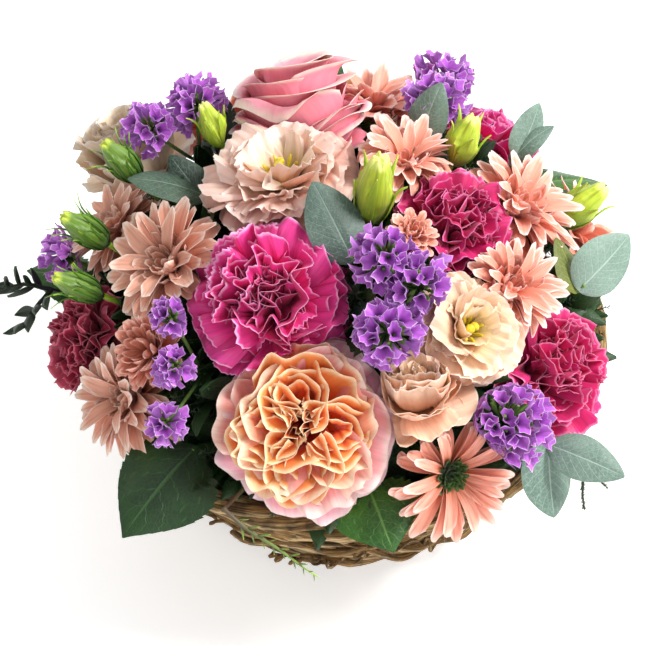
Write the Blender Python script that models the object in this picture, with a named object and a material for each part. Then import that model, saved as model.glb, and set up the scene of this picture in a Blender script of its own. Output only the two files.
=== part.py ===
"""A round vine basket packed with a dome of cut flowers, built at its real size.

The basket stands on the plane Z = 0 with its axis on +Z, and the front of the arrangement faces -Y.
A coiled base, a wall of wound vines and a twisted rim hold a liner and a block of flower foam. Every
flower, bud, leafy stem and frond is one grown piece: its stem points at one focus low in the foam and
stands in its own hole there. Tables give sizes in millimetres and angles in degrees; the scene is in
metres.
"""

import math
import random
from dataclasses import dataclass, field

import bmesh
import bpy
from mathutils import Matrix, Vector

MM = 0.001
SEED = 11

# ---- basket -------------------------------------------------------------------------------------
RIM_R = 121.0  # mean radius of the twisted rim
RIM_Z = 91.0
RIM_VINE_R = 5.6
RIM_LOBE = 1.3  # how far the two twisted vines stand out, as a share of their mean radius
BASE_R = 84.0
BASE_H = 8.0
WALL_TOP_R = 119.0
WALL_THICK = 9.0
WALL_COURSES = 6
WALL_SIDES = 28
VINE_R = 1.9
VINE_STEPS = 6
LOOSE_VINES = [(-125, -60, 24, 52, 1), (-85, -20, 42, 18, 2), (60, 140, 30, 58, 3)]
TOUCH_GAP = 0.35  # gap that touching pieces keep

# ---- filling ------------------------------------------------------------------------------------
LINER_THICK = 1.2
FOAM_GAP = 1.0
FOAM_R = 92.0
FOAM_TOP_Z = 140.0
FOAM_SIDES = 16
STEM_FOCUS = Vector((0.0, 0.0, 40.0)) * MM
STEM_SIDES = 5
STEM_DEPTH = 20.0  # how far a stem goes into the foam
HOLE_SIDES = 4
HOLE_SLACK = 0.4  # gap between a stem and the flats of its hole

# ---- flower dome --------------------------------------------------------------------------------
DOME_CENTRE = Vector((0.0, 0.0, 85.0)) * MM
DOME_R = 135.0
DOME_H = 115.0
CROWD = 3.5  # how softly neighbouring buds press against each other
CROWD_POWER = 6  # how sharply a petal's reach stops at a neighbour
LEAST_REACH = 1.5
BLADE = 0.9  # leaf thickness
BUD_STEM_R = 1.5
SPRAY_STEM_R = 1.4
KNOT_DEPTH = 26.0  # how far under a spray its branches part from the stem
GOLDEN_ANGLE = math.pi * (3 - math.sqrt(5))

COLOURS = {
    "vine": (0.27, 0.16, 0.08),
    "film": (0.05, 0.06, 0.05),
    "foam": (0.05, 0.12, 0.06),
    "apricot": (0.95, 0.45, 0.25),
    "pink": (0.85, 0.30, 0.38),
    "magenta": (0.70, 0.06, 0.30),
    "crimson": (0.52, 0.02, 0.16),
    "blush": (0.92, 0.62, 0.50),
    "peach": (0.88, 0.48, 0.34),
    "violet": (0.30, 0.10, 0.62),
    "lime": (0.45, 0.62, 0.08),
    "sage": (0.28, 0.40, 0.32),
    "leaf": (0.04, 0.14, 0.03),
    "fern": (0.05, 0.12, 0.03),
}


@dataclass
class Layer:
    """One whorl of petals: how far up it leans, how far out it reaches and how it is cut."""

    lean: float  # angle of the tips above the plane of the flower's base
    reach: float  # tip distance from the base, as a share of the flower's radius
    petals: int
    cut: str  # "cup", "round", "ruffle", "strap" or "fringe"


@dataclass
class Kind:
    """How one kind of flower head is layered."""

    layers: list
    depth: float  # base to face, as a share of the radius
    valley: float  # depth of the grooves between whorls
    eye: float  # distance of the middle of the face from the base, as a share of the radius
    stem_r: float = 2.2
    calyx_r: float = 5.0


@dataclass
class Bloom:
    """A flower head and its stem, placed by direction on the dome."""

    name: str
    kind: str
    azimuth: float
    polar: float
    radius: float
    colour: str
    lift: float = 0.0


@dataclass
class Leaf:
    """One leaf on a stem: how far down the stem it sits, where it points and how it is cut."""

    down: float
    azimuth: float
    polar: float
    length: float
    width: float
    bend: float = 12.0
    twist: float = 0.0
    teeth: int = 0


@dataclass
class Sprig:
    """A stem with leaves, placed by direction on the dome."""

    name: str
    azimuth: float
    polar: float
    lift: float
    colour: str
    leaves: list = field(default_factory=list)
    stem_r: float = 1.2


@dataclass
class Bud:
    """A closed twisted bud on its stem, placed by direction on the dome."""

    name: str
    azimuth: float
    polar: float
    lift: float
    length: float
    radius: float


@dataclass
class Statice:
    """A spray of small papery florets in one or more tufts (azimuth, polar, lift, radius, florets)."""

    name: str
    tufts: list


KINDS = {
    "cabbage_rose": Kind(
        [
            Layer(4, 1.00, 5, "cup"),
            Layer(17, 0.98, 5, "cup"),
            Layer(30, 0.90, 6, "cup"),
            Layer(44, 0.78, 6, "round"),
            Layer(57, 0.71, 7, "round"),
            Layer(69, 0.67, 6, "round"),
            Layer(80, 0.63, 4, "round"),
        ],
        depth=0.62,
        valley=0.64,
        eye=0.46,
        stem_r=2.6,
        calyx_r=6.5,
    ),
    "tall_rose": Kind(
        [
            Layer(16, 1.04, 5, "cup"),
            Layer(36, 1.18, 5, "cup"),
            Layer(50, 1.26, 4, "cup"),
            Layer(62, 1.32, 4, "cup"),
            Layer(73, 1.34, 3, "cup"),
            Layer(82, 1.34, 3, "cup"),
        ],
        depth=1.25,
        valley=0.86,
        eye=1.16,
        stem_r=2.6,
        calyx_r=7.0,
    ),
    "carnation": Kind(
        [
            Layer(2, 1.00, 8, "fringe"),
            Layer(20, 1.02, 8, "fringe"),
            Layer(38, 0.99, 7, "fringe"),
            Layer(56, 0.94, 6, "fringe"),
            Layer(73, 0.92, 4, "fringe"),
        ],
        depth=0.86,
        valley=0.66,
        eye=0.68,
        stem_r=2.0,
        calyx_r=6.5,
    ),
    "lisianthus": Kind(
        [
            Layer(6, 1.00, 4, "ruffle"),
            Layer(24, 0.99, 4, "ruffle"),
            Layer(43, 0.88, 4, "ruffle"),
            Layer(62, 0.72, 3, "ruffle"),
        ],
        depth=0.62,
        valley=0.54,
        eye=0.36,
        stem_r=1.6,
        calyx_r=3.5,
    ),
    "chrysanthemum": Kind(
        [
            Layer(2, 1.00, 10, "strap"),
            Layer(22, 0.98, 9, "strap"),
            Layer(46, 0.84, 6, "strap"),
        ],
        depth=0.55,
        valley=0.42,
        eye=0.34,
        stem_r=1.6,
        calyx_r=4.5,
    ),
    "daisy": Kind(
        [Layer(-2, 1.00, 13, "strap"), Layer(16, 0.92, 11, "strap")],
        depth=0.30,
        valley=0.36,
        eye=0.30,
        stem_r=1.6,
        calyx_r=4.5,
    ),
    "button": Kind(
        [
            Layer(4, 1.00, 8, "strap"),
            Layer(32, 0.98, 7, "strap"),
            Layer(60, 0.92, 4, "strap"),
        ],
        depth=0.8,
        valley=0.62,
        eye=0.62,
        stem_r=1.2,
        calyx_r=3.0,
    ),
}

BLOOMS = [
    Bloom("garden_rose", "cabbage_rose", -100, 61, 46, "apricot", 2),
    Bloom("pink_rose", "tall_rose", 118, 23, 36, "pink", 16),
    Bloom("back_rose", "cabbage_rose", 86, 66, 41, "apricot"),
    Bloom("magenta_carnation", "carnation", -121, 36, 40, "magenta", 6),
    Bloom("crimson_carnation", "carnation", -22, 28, 31, "crimson", 3),
    Bloom("pink_carnation", "carnation", -34, 68, 33, "magenta", 3),
    Bloom("burgundy_carnation", "carnation", -164, 74, 27, "crimson", 8),
    Bloom("back_carnation", "carnation", 46, 60, 36, "magenta"),
    Bloom("blush_lisianthus", "lisianthus", 174, 15, 41, "blush", 4),
    Bloom("cream_lisianthus", "lisianthus", 153, 60, 33, "blush", 10),
    Bloom("peach_lisianthus", "lisianthus", -54, 47, 30, "blush", 6),
    Bloom("open_lisianthus", "lisianthus", -72, 58, 28, "blush", 2),
    Bloom("left_chrysanthemum", "chrysanthemum", -158, 46, 32, "peach", 2),
    Bloom("upper_left_chrysanthemum", "chrysanthemum", 174, 60, 28, "peach", 2),
    Bloom("lower_left_chrysanthemum", "chrysanthemum", -145, 74, 31, "peach"),
    Bloom("right_chrysanthemum", "chrysanthemum", -33, 46, 27, "peach", 3),
    Bloom("top_chrysanthemum", "chrysanthemum", 12, 14, 26, "peach", 2),
    Bloom("far_right_chrysanthemum", "chrysanthemum", 0, 43, 31, "peach", 2),
    Bloom("back_chrysanthemum", "chrysanthemum", 122, 62, 34, "peach"),
    Bloom("crown_chrysanthemum", "chrysanthemum", 78, 37, 28, "peach", -3),
    Bloom("side_chrysanthemum", "chrysanthemum", 18, 74, 30, "peach"),
    Bloom("bronze_chrysanthemum", "button", -141, 59, 20, "peach", 10),
    Bloom("button_chrysanthemum", "button", -58, 25, 12, "peach", 12),
    Bloom("daisy", "daisy", -69, 73, 29, "peach", 2),
]


BUDS = [
    Bud("centre_bud", -62, 13, 4, 46, 10.5),
    Bud("upper_right_bud", 17, 27, 4, 28, 9.5),
    Bud("right_bud", 10, 60, 2, 30, 10),
    Bud("left_bud", -172, 54, 18, 28, 8),
    Bud("lower_left_bud", -162, 60, 15, 28, 7.5),
    Bud("top_left_bud", 172, 46, 18, 26, 8),
    Bud("top_bud", 152, 33, 5, 24, 7.5),
]

STATICE = [
    Statice(
        "centre_statice",
        [(-74, 29, 7, 13, 8), (-66, 36, 6, 14, 9), (-79, 43, 6, 14, 9)],
    ),
    Statice("top_right_statice", [(48, 31, 3, 13, 9), (58, 44, 4, 14, 9)]),
    Statice("top_left_statice", [(156, 46, 12, 12, 8), (143, 41, 8, 13, 9)]),
    Statice("right_statice", [(-57, 66, 4, 18, 14)]),
    Statice(
        "left_statice",
        [(-137, 50, 8, 8, 6), (-130, 57, 8, 8, 6), (-127, 67, 8, 8, 6)],
    ),
    Statice("far_left_statice", [(178, 70, 5, 13, 9)]),
    Statice("back_statice", [(68, 76, 0, 15, 10)]),
]

SPRIGS = [
    Sprig(
        "centre_eucalyptus",
        -87,
        25,
        -10,
        "sage",
        [Leaf(0, 125, 52, 37, 26, 8), Leaf(18, -71, 98, 29, 17, 6, 40)],
    ),
    Sprig(
        "top_eucalyptus",
        39,
        24,
        -8,
        "sage",
        [Leaf(0, 48, 30, 29, 19, 8), Leaf(10, 145, 52, 23, 18, 8)],
    ),
    Sprig(
        "left_eucalyptus",
        176,
        37,
        -12,
        "sage",
        [Leaf(0, -178, 71, 35, 21, 14), Leaf(5, 136, 59, 28, 17, 10)],
    ),
    Sprig(
        "right_eucalyptus",
        -19,
        58,
        5,
        "sage",
        [Leaf(1, 40, 62, 32, 27, 10), Leaf(4, 118, 52, 25, 18, 8)],
    ),
    Sprig(
        "upper_right_eucalyptus",
        21,
        45,
        0,
        "sage",
        [Leaf(0, 60, 47, 26, 17, 6), Leaf(4, 26, 56, 26, 12, 30)],
    ),
    Sprig(
        "low_right_eucalyptus",
        -48,
        75,
        8,
        "sage",
        [Leaf(0, -28, 92, 34, 20, 18), Leaf(3, -84, 132, 32, 30, -8)],
    ),
    Sprig(
        "top_left_eucalyptus",
        138,
        43,
        -10,
        "sage",
        [Leaf(2, 106, 51, 25, 16, 8), Leaf(8, 184, 74, 17, 11, 8)],
    ),
    Sprig(
        "back_eucalyptus",
        104,
        78,
        4,
        "sage",
        [Leaf(0, 60, 105, 32, 26, 8), Leaf(4, 150, 110, 30, 24, 8)],
    ),
    Sprig("front_leaf", -85, 77, -13, "leaf", [Leaf(4, -68, 112, 32, 40, 10, 0, 4)], 1.4),
    Sprig("front_left_leaf", -125, 77, -13, "leaf", [Leaf(0, -129, 107, 50, 48, 12, 0, 5)], 1.4),
    Sprig("left_leaf", 177, 78, -11, "leaf", [Leaf(1, 173, 80, 35, 29, 10, 0, 4)], 1.4),
    Sprig("back_leaf", 37, 78, -7, "leaf", [Leaf(0, 22, 109, 46, 40, 14, 0, 5)], 1.4),
    Sprig(
        "left_frond",
        -178,
        76,
        11,
        "fern",
        [Leaf(0, -169, 60, 26, 5, 30, 0, 2), Leaf(1, -130, 104, 25, 5, 10, 0, 2)],
        1.0,
    ),
    Sprig(
        "low_front_frond",
        -112,
        78,
        10,
        "fern",
        [Leaf(0, -32, 113, 50, 4, 14, 0, 3)],
        1.0,
    ),
    Sprig(
        "low_right_frond",
        -44,
        78,
        15,
        "fern",
        [Leaf(1, -75, 151, 28, 4, 4, 0, 2), Leaf(4, -43, 109, 21, 3, 20, 0, 1)],
        1.0,
    ),
    Sprig(
        "crown_leaves",
        98,
        49,
        -16,
        "leaf",
        [Leaf(0, 67, 66, 29, 23, 10, 0, 3), Leaf(1, 153, 58, 32, 24, 10, 0, 3)],
        1.4,
    ),
]


def sph(azimuth, polar):
    """Unit vector of a direction given in degrees."""
    a, p = math.radians(azimuth), math.radians(polar)
    return Vector((math.sin(p) * math.cos(a), math.sin(p) * math.sin(a), math.cos(p)))


def dome_point(azimuth, polar, lift=0.0):
    """Point of the flower dome in that direction from its centre, raised by lift millimetres."""
    way = sph(azimuth, polar)
    p = math.radians(polar)
    reach = 1 / math.sqrt((math.sin(p) / DOME_R) ** 2 + (math.cos(p) / DOME_H) ** 2)
    return DOME_CENTRE + way * (reach + lift) * MM


def frame_along(axis):
    """Rotation whose Z column is axis and whose X column lies level."""
    z = axis.normalized()
    side = Vector((0, 0, 1)).cross(z)
    x = side.normalized() if side.length > 1e-4 else Vector((1, 0, 0))
    return Matrix((x, z.cross(x), z)).transposed()


class Mesh:
    """Collects points and faces, then becomes an object."""

    def __init__(self):
        """An empty mesh."""
        self.points = []
        self.faces = []

    def add(self, points):
        """Adds points and returns their indices."""
        first = len(self.points)
        self.points += [Vector(p) for p in points]
        return list(range(first, len(self.points)))

    def bridge(self, lower, upper, low_angles=None, up_angles=None):
        """Joins two closed rings in order of angle; a ring with no angles is even and starts at zero."""
        n, m = len(lower), len(upper)
        low = low_angles or [360 * i / n for i in range(n)]
        up = up_angles or [360 * j / m for j in range(m)]
        first = min(range(m), key=lambda j: abs((up[j] - low[0] + 180) % 360 - 180))
        upper = upper[first:] + upper[:first]
        up = up[first:] + [angle + 360 for angle in up[:first]]
        whole = 360 * round((low[0] - up[0]) / 360)
        up = [angle + whole for angle in up + [up[0] + 360]]
        low = low + [low[0] + 360]
        i = j = 0
        while i < n or j < m:
            a, b = lower[i % n], upper[j % m]
            if j == m or (i < n and low[i] + low[i + 1] <= up[j] + up[j + 1]):
                self.faces.append((a, lower[(i + 1) % n], b))
                i += 1
            else:
                self.faces.append((a, upper[(j + 1) % m], b))
                j += 1

    def cap(self, ring, centre, up=True):
        """Closes a ring onto one point."""
        n = len(ring)
        for i in range(n):
            pair = (ring[i], ring[(i + 1) % n])
            self.faces.append((*pair, centre) if up else (*pair[::-1], centre))

    def object(self, name, colour):
        """The finished object, in the scene."""
        data = bpy.data.meshes.new(name)
        data.from_pydata(self.points, [], self.faces)
        data.validate()
        made = bpy.data.objects.new(name, data)
        bpy.context.scene.collection.objects.link(made)
        made.data.materials.append(material(colour))
        return made


def material(colour):
    """One plain finish for each colour of the arrangement."""
    found = bpy.data.materials.get(colour)
    if found:
        return found
    made = bpy.data.materials.new(colour)
    made.use_nodes = True
    shader = made.node_tree.nodes["Principled BSDF"]
    shader.inputs["Base Color"].default_value = (*COLOURS[colour], 1)
    shader.inputs["Roughness"].default_value = 0.8 if colour in ("vine", "foam") else 0.55
    return made


def fuse(parts, name, cut=()):
    """Joins closed meshes into one body, less the cutters, and removes what was used."""
    body = parts[0]
    for role, others in (("UNION", parts[1:]), ("DIFFERENCE", cut)):
        if not others:
            continue
        group = bpy.data.collections.new(name + "_" + role.lower())
        bpy.context.scene.collection.children.link(group)
        for other in others:
            group.objects.link(other)
        step = body.modifiers.new(role, "BOOLEAN")
        step.operation = role
        # MANIFOLD joins hundreds of crossing leaves and needles in one pass, and keeps every part closed.
        step.solver = "MANIFOLD"
        step.operand_type = "COLLECTION"
        step.collection = group
        bpy.context.view_layer.update()
        graph = bpy.context.evaluated_depsgraph_get()
        joined = bpy.data.meshes.new_from_object(body.evaluated_get(graph))
        body.modifiers.clear()
        body.data = joined
        for other in others:
            bpy.data.objects.remove(other)
        bpy.data.collections.remove(group)
    body.name = name
    return body


# ---- flower heads -------------------------------------------------------------------------------
def petal_ring(layer, room, dice):
    """The edge of one whorl as (azimuth, lean, share of reach): each petal starts at its notch.

    Room is the lean that the whorl may take up to either side, and keeps its neighbours clear.
    """
    step = 360 / layer.petals
    shapes = {
        "cup": [(0.0, -0.2, 0.86), (0.2, 0, 0.97), (0.5, 0.2, 1.0), (0.8, 0, 0.97)],
        "round": [(0.0, -0.2, 0.78), (0.2, 0, 0.95), (0.5, 0.2, 1.0), (0.8, 0, 0.95)],
        "ruffle": [
            (0.0, -0.2, 0.84),
            (0.15, 0.2, 0.95),
            (0.33, -0.15, 1.0),
            (0.5, 0.25, 0.96),
            (0.67, -0.15, 1.0),
            (0.85, 0.2, 0.95),
        ],
        "strap": [(0.0, -0.1, 0.52), (0.2, 0, 0.97), (0.8, 0, 0.97)],
        "fringe": [(0.0, -0.2, 0.82), (0.25, 0.2, 1.0), (0.5, -0.15, 0.9), (0.75, 0.25, 1.0)],
    }
    ring = []
    for k in range(layer.petals):
        grow = dice.uniform(0.95, 1.04)
        lift = dice.uniform(-0.1, 0.1)
        for at, lean, share in shapes[layer.cut]:
            ring.append(((k + at) * step, layer.lean + (lean + lift) * room, share * grow))
    return ring


def reach_along(start, way, reach, planes):
    """The point reach millimetres from start, drawn softly back along its own ray behind each plane."""
    for foot, inward in planes:
        fall = -way.dot(inward)
        if fall < 1e-3:
            continue
        room = ((start - foot).dot(inward) / MM - TOUCH_GAP / 2) / fall
        room = max(room, LEAST_REACH)
        reach = reach / (1 + (reach / room) ** CROWD_POWER) ** (1 / CROWD_POWER)
    return start + way * reach * MM


def press(point, planes):
    """Moves a point softly back behind each plane (a point on it and its inward normal)."""
    for foot, inward in planes:
        d = (point - foot).dot(inward) / MM - TOUCH_GAP / 2
        kept = 0.5 * (d + math.sqrt(d * d + CROWD * CROWD))
        point = point + inward * (kept - d) * MM
    return point


def head_ball(bloom):
    """Centre and radius of the ball that stands for a flower head among its neighbours."""
    face = dome_point(bloom.azimuth, bloom.polar, bloom.lift)
    axis = (face - STEM_FOCUS).normalized()
    depth = KINDS[bloom.kind].depth * bloom.radius * MM
    return face - axis * depth * 0.6, bloom.radius * MM


def rim_plane(centre):
    """The plane that rests on the rim under a ball's centre, with its normal towards the ball."""
    flat = Vector((centre.x, centre.y, 0)).normalized()
    vine = flat * RIM_R * MM + Vector((0, 0, RIM_Z * MM))
    away = (centre - vine).normalized()
    return vine + away * (RIM_VINE_R * RIM_LOBE + TOUCH_GAP) * MM, away


def planes_between(ball, others):
    """The planes that part one ball from its neighbours, each with its normal pointing back inside."""
    centre, radius = ball
    planes = []
    rim = Vector((centre.x, centre.y, 0)).normalized() * RIM_R * MM + Vector((0, 0, RIM_Z * MM))
    if (centre - rim).length < radius + 14 * MM:
        planes.append(rim_plane(centre))
    for other, other_r in others:
        away = other - centre
        gap = away.length
        if gap < 1e-6 or gap > (radius + other_r) * 1.5:
            continue
        at = (gap * gap + radius * radius - other_r * other_r) / (2 * gap)
        planes.append((centre + away.normalized() * at, -away.normalized()))
    return planes


def flower(bloom, others, dice):
    """A head of layered petals round one base point, on its calyx and stem, as one closed body."""
    kind = KINDS[bloom.kind]
    face = dome_point(bloom.azimuth, bloom.polar, bloom.lift)
    axis = (face - STEM_FOCUS).normalized()
    base = face - axis * kind.depth * bloom.radius * MM
    turn = frame_along(axis)
    planes = planes_between(head_ball(bloom), others)

    def place(azimuth, lean, reach):
        """Point of the head in millimetres of reach from its base."""
        a, e = math.radians(azimuth), math.radians(lean)
        local = Vector((math.cos(e) * math.cos(a), math.cos(e) * math.sin(a), math.sin(e)))
        return reach_along(base, turn @ local, reach, planes)

    mesh = Mesh()
    rings = stem_rings(mesh, base, turn, kind.stem_r, kind.calyx_r)
    leans = [kind.layers[0].lean - 28] + [layer.lean for layer in kind.layers]
    leans.append(2 * 90 - leans[-1])
    for index, layer in enumerate(kind.layers):
        before, lean, after = leans[index : index + 3]
        spin = 360 / layer.petals * (0.5 if index % 2 else 0.0) + 7 * index
        tips = petal_ring(layer, 0.5 * min(lean - before, after - lean), dice)
        groove = max(layer.petals, 8)
        valley = kind.valley * layer.reach * bloom.radius * (0.62 if index == 0 else 1.0)
        angles = [spin + 360 / groove * k for k in range(groove)]
        rings.append((mesh.add(place(a, 0.5 * (before + lean), valley) for a in angles), angles))
        angles = [spin + a for a, _, _ in tips]
        reach = layer.reach * bloom.radius
        rings.append((mesh.add(place(spin + a, e, reach * share) for a, e, share in tips), angles))
    valley = kind.valley * kind.layers[-1].reach * bloom.radius
    angles = [60 * k for k in range(6)]
    rings.append((mesh.add(place(a, 0.5 * (leans[-2] + 90), valley) for a in angles), angles))
    for (lower, low_angles), (upper, up_angles) in zip(rings, rings[1:]):
        mesh.bridge(lower, upper, low_angles, up_angles)
    mesh.cap(rings[-1][0], mesh.add([place(0, 90, kind.eye * bloom.radius)])[0])
    return mesh.object(bloom.name, bloom.colour)


def stem_foot(base):
    """Where a stem that grows to base ends in the foam, and where it leaves the foam."""
    way = (base - STEM_FOCUS).normalized()
    skin = STEM_FOCUS + way * foam_reach(way) * MM
    return skin - way * STEM_DEPTH * MM, skin


def stem_rings(mesh, base, turn, stem_r, calyx_r):
    """The stem from its foot in the foam up to the cup under a flower's base, as even rings."""
    foot, _ = stem_foot(base)
    way = (base - foot).normalized()

    def ring(centre, radius, sides):
        """One even ring round a centre."""
        angles = (2 * math.pi * k / sides for k in range(sides))
        return mesh.add(centre + turn @ Vector((math.cos(a), math.sin(a), 0)) * radius * MM for a in angles)

    low = ring(foot, stem_r, STEM_SIDES)
    mesh.faces.append(tuple(low[::-1]))
    neck = ring(base - way * calyx_r * 1.6 * MM, stem_r, STEM_SIDES)
    cup = ring(base - way * calyx_r * 0.7 * MM, calyx_r, STEM_SIDES + 1)
    return [(low, None), (neck, None), (cup, None)]


def foam_profile():
    """Outline of the foam block from its foot to its crown, as (radius, height)."""
    return [
        (BASE_R - 22, BASE_H + TOUCH_GAP + LINER_THICK + FOAM_GAP),
        (FOAM_R - 6, 70),
        (FOAM_R, 92),
        (FOAM_R - 13, 115),
        (FOAM_R - 46, 134),
    ]


def foam_reach(way):
    """Distance in millimetres from the stem focus to the foam's skin along a direction."""
    outline = foam_profile() + [(0.0, FOAM_TOP_Z)]
    flat = math.hypot(way.x, way.y)
    focus = STEM_FOCUS.z / MM
    for (r0, z0), (r1, z1) in zip(outline, outline[1:]):
        dr, dz = r1 - r0, z1 - z0
        cross = flat * dz - way.z * dr
        if abs(cross) < 1e-9:
            continue
        along = (r0 * dz - (z0 - focus) * dr) / cross
        r = along * flat
        z = focus + along * way.z
        inside = min(z0, z1) - 1e-6 <= z <= max(z0, z1) + 1e-6
        if along > 0 and inside and min(r0, r1) - 1e-6 <= r <= max(r0, r1) + 1e-6:
            return along
    return FOAM_R


# ---- buds, sprays and leafy stems ---------------------------------------------------------------
def tube(points, radii, sides=STEM_SIDES):
    """A closed tube through points, with a radius in millimetres at each, that doesn't twist."""
    mesh = Mesh()
    rings = []
    x = frame_along(points[1] - points[0]).col[0]
    for i, point in enumerate(points):
        way = (points[min(i + 1, len(points) - 1)] - points[max(i - 1, 0)]).normalized()
        x = (x - way * x.dot(way)).normalized()
        turn = Matrix((x, way.cross(x), way)).transposed()
        rings.append(
            mesh.add(
                point + turn @ Vector((math.cos(a), math.sin(a), 0)) * radii[i] * MM
                for a in (2 * math.pi * k / sides for k in range(sides))
            )
        )
    mesh.faces.append(tuple(rings[0][::-1]))
    for lower, upper in zip(rings, rings[1:]):
        mesh.bridge(lower, upper)
    mesh.faces.append(tuple(rings[-1]))
    return mesh


def bud(spec, others):
    """A bud of twisted petals in a cup of three flared sepals, on its stem, as one closed body."""
    middle = dome_point(spec.azimuth, spec.polar, spec.lift)
    axis = (middle - STEM_FOCUS).normalized()
    base = middle - axis * spec.length * 0.5 * MM
    turn = frame_along(axis)
    planes = planes_between((middle, spec.radius * MM), others)
    mesh = Mesh()

    def ring(shape, sides=6, spin=0.0):
        """One ring whose corners take (share along, share out) from shape in turn."""
        corners = []
        for i in range(sides):
            along, out = shape[i % len(shape)]
            a = 2 * math.pi * i / sides + math.radians(spin)
            side = turn @ Vector((math.cos(a), math.sin(a), 0))
            place = base + (axis * along * spec.length + side * out * spec.radius) * MM
            corners.append(press(place, planes) if along > 0 else place)
        return mesh.add(corners)

    foot, _ = stem_foot(base)
    low = mesh.add(
        foot + turn @ Vector((math.cos(a), math.sin(a), 0)) * BUD_STEM_R * MM
        for a in (2 * math.pi * i / STEM_SIDES for i in range(STEM_SIDES))
    )
    mesh.faces.append(tuple(low[::-1]))
    rings = [
        low,
        ring([(0.0, BUD_STEM_R / spec.radius)], STEM_SIDES),
        ring([(0.08, 0.62)]),
        ring([(0.52, 1.35), (0.16, 0.8)]),
        ring([(0.15, 0.54)]),
        ring([(0.3, 0.8), (0.3, 0.62)]),
        ring([(0.56, 1.1), (0.56, 0.82)], spin=14),
        ring([(0.82, 0.72), (0.82, 0.5)], spin=30),
        ring([(1.0, 0.56), (0.96, 0.4)], spin=46),
    ]
    for lower, upper in zip(rings, rings[1:]):
        mesh.bridge(lower, upper)
    tip = press(base + axis * spec.length * 0.92 * MM, planes)
    mesh.cap(rings[-1], mesh.add([tip])[0])
    return mesh.object(spec.name, "lime")


def statice(spec, others, dice):
    """Tufts of funnel-shaped florets on branches that meet in one stem."""
    parts = []
    middles = [dome_point(a, p, lift) for a, p, lift, _, _ in spec.tufts]
    centre = sum(middles, Vector()) / len(middles)
    knot = centre - (centre - STEM_FOCUS).normalized() * KNOT_DEPTH * MM
    for (_, _, _, radius, count), middle in zip(spec.tufts, middles):
        planes = planes_between((middle, radius * MM), others)
        parts.append(tuft(middle, radius, count, planes, dice).object("tuft", "violet"))
        ends = [knot, middle - (middle - knot).normalized() * radius * 0.2 * MM]
        parts.append(tube(ends, [0.9, 0.9], 4).object("branch", "violet"))
    foot, _ = stem_foot(knot)
    top = knot + (knot - foot).normalized() * 1.5 * MM
    parts.append(tube([foot, top], [SPRAY_STEM_R, SPRAY_STEM_R]).object("stem", "violet"))
    return fuse(parts, spec.name)


def tuft(middle, radius, count, planes, dice):
    """A ball of funnel florets: sunken centres, raised rims and grooves between the rims."""
    axis = (middle - STEM_FOCUS).normalized()
    turn = frame_along(axis)
    hull = bmesh.new()
    for k in range(count):
        rise = 1 - 2 * (k + 0.5) / count
        flat = math.sqrt(1 - rise * rise)
        a = k * GOLDEN_ANGLE
        hull.verts.new(turn @ Vector((flat * math.cos(a), flat * math.sin(a), rise)))
    bmesh.ops.convex_hull(hull, input=hull.verts)
    hull.verts.index_update()
    hull.faces.index_update()
    mesh = Mesh()

    def place(way, reach):
        """Point of the tuft at a share of its radius along a direction."""
        return reach_along(middle, way.normalized(), reach * radius, planes)

    grooves = mesh.add(place(face.calc_center_median(), 0.58) for face in hull.faces)
    for vert in hull.verts:
        way = vert.co.normalized()
        local = frame_along(way).transposed()

        def around(face):
            """Angle of a face round this floret."""
            flat = local @ face.calc_center_median()
            return math.atan2(flat.y, flat.x)

        faces = sorted(vert.link_faces, key=around)
        tall = dice.uniform(0.94, 1.06)
        rim = mesh.add(
            place(way * 0.42 + face.calc_center_median().normalized() * 0.58, tall)
            for face in faces
        )
        mesh.cap(rim, mesh.add([place(way, 0.8)])[0])
        for i, face in enumerate(faces):
            j = (i + 1) % len(faces)
            groove, following = grooves[face.index], grooves[faces[j].index]
            mesh.faces.append((rim[i], groove, following, rim[j]))
    hull.free()
    return mesh


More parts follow.
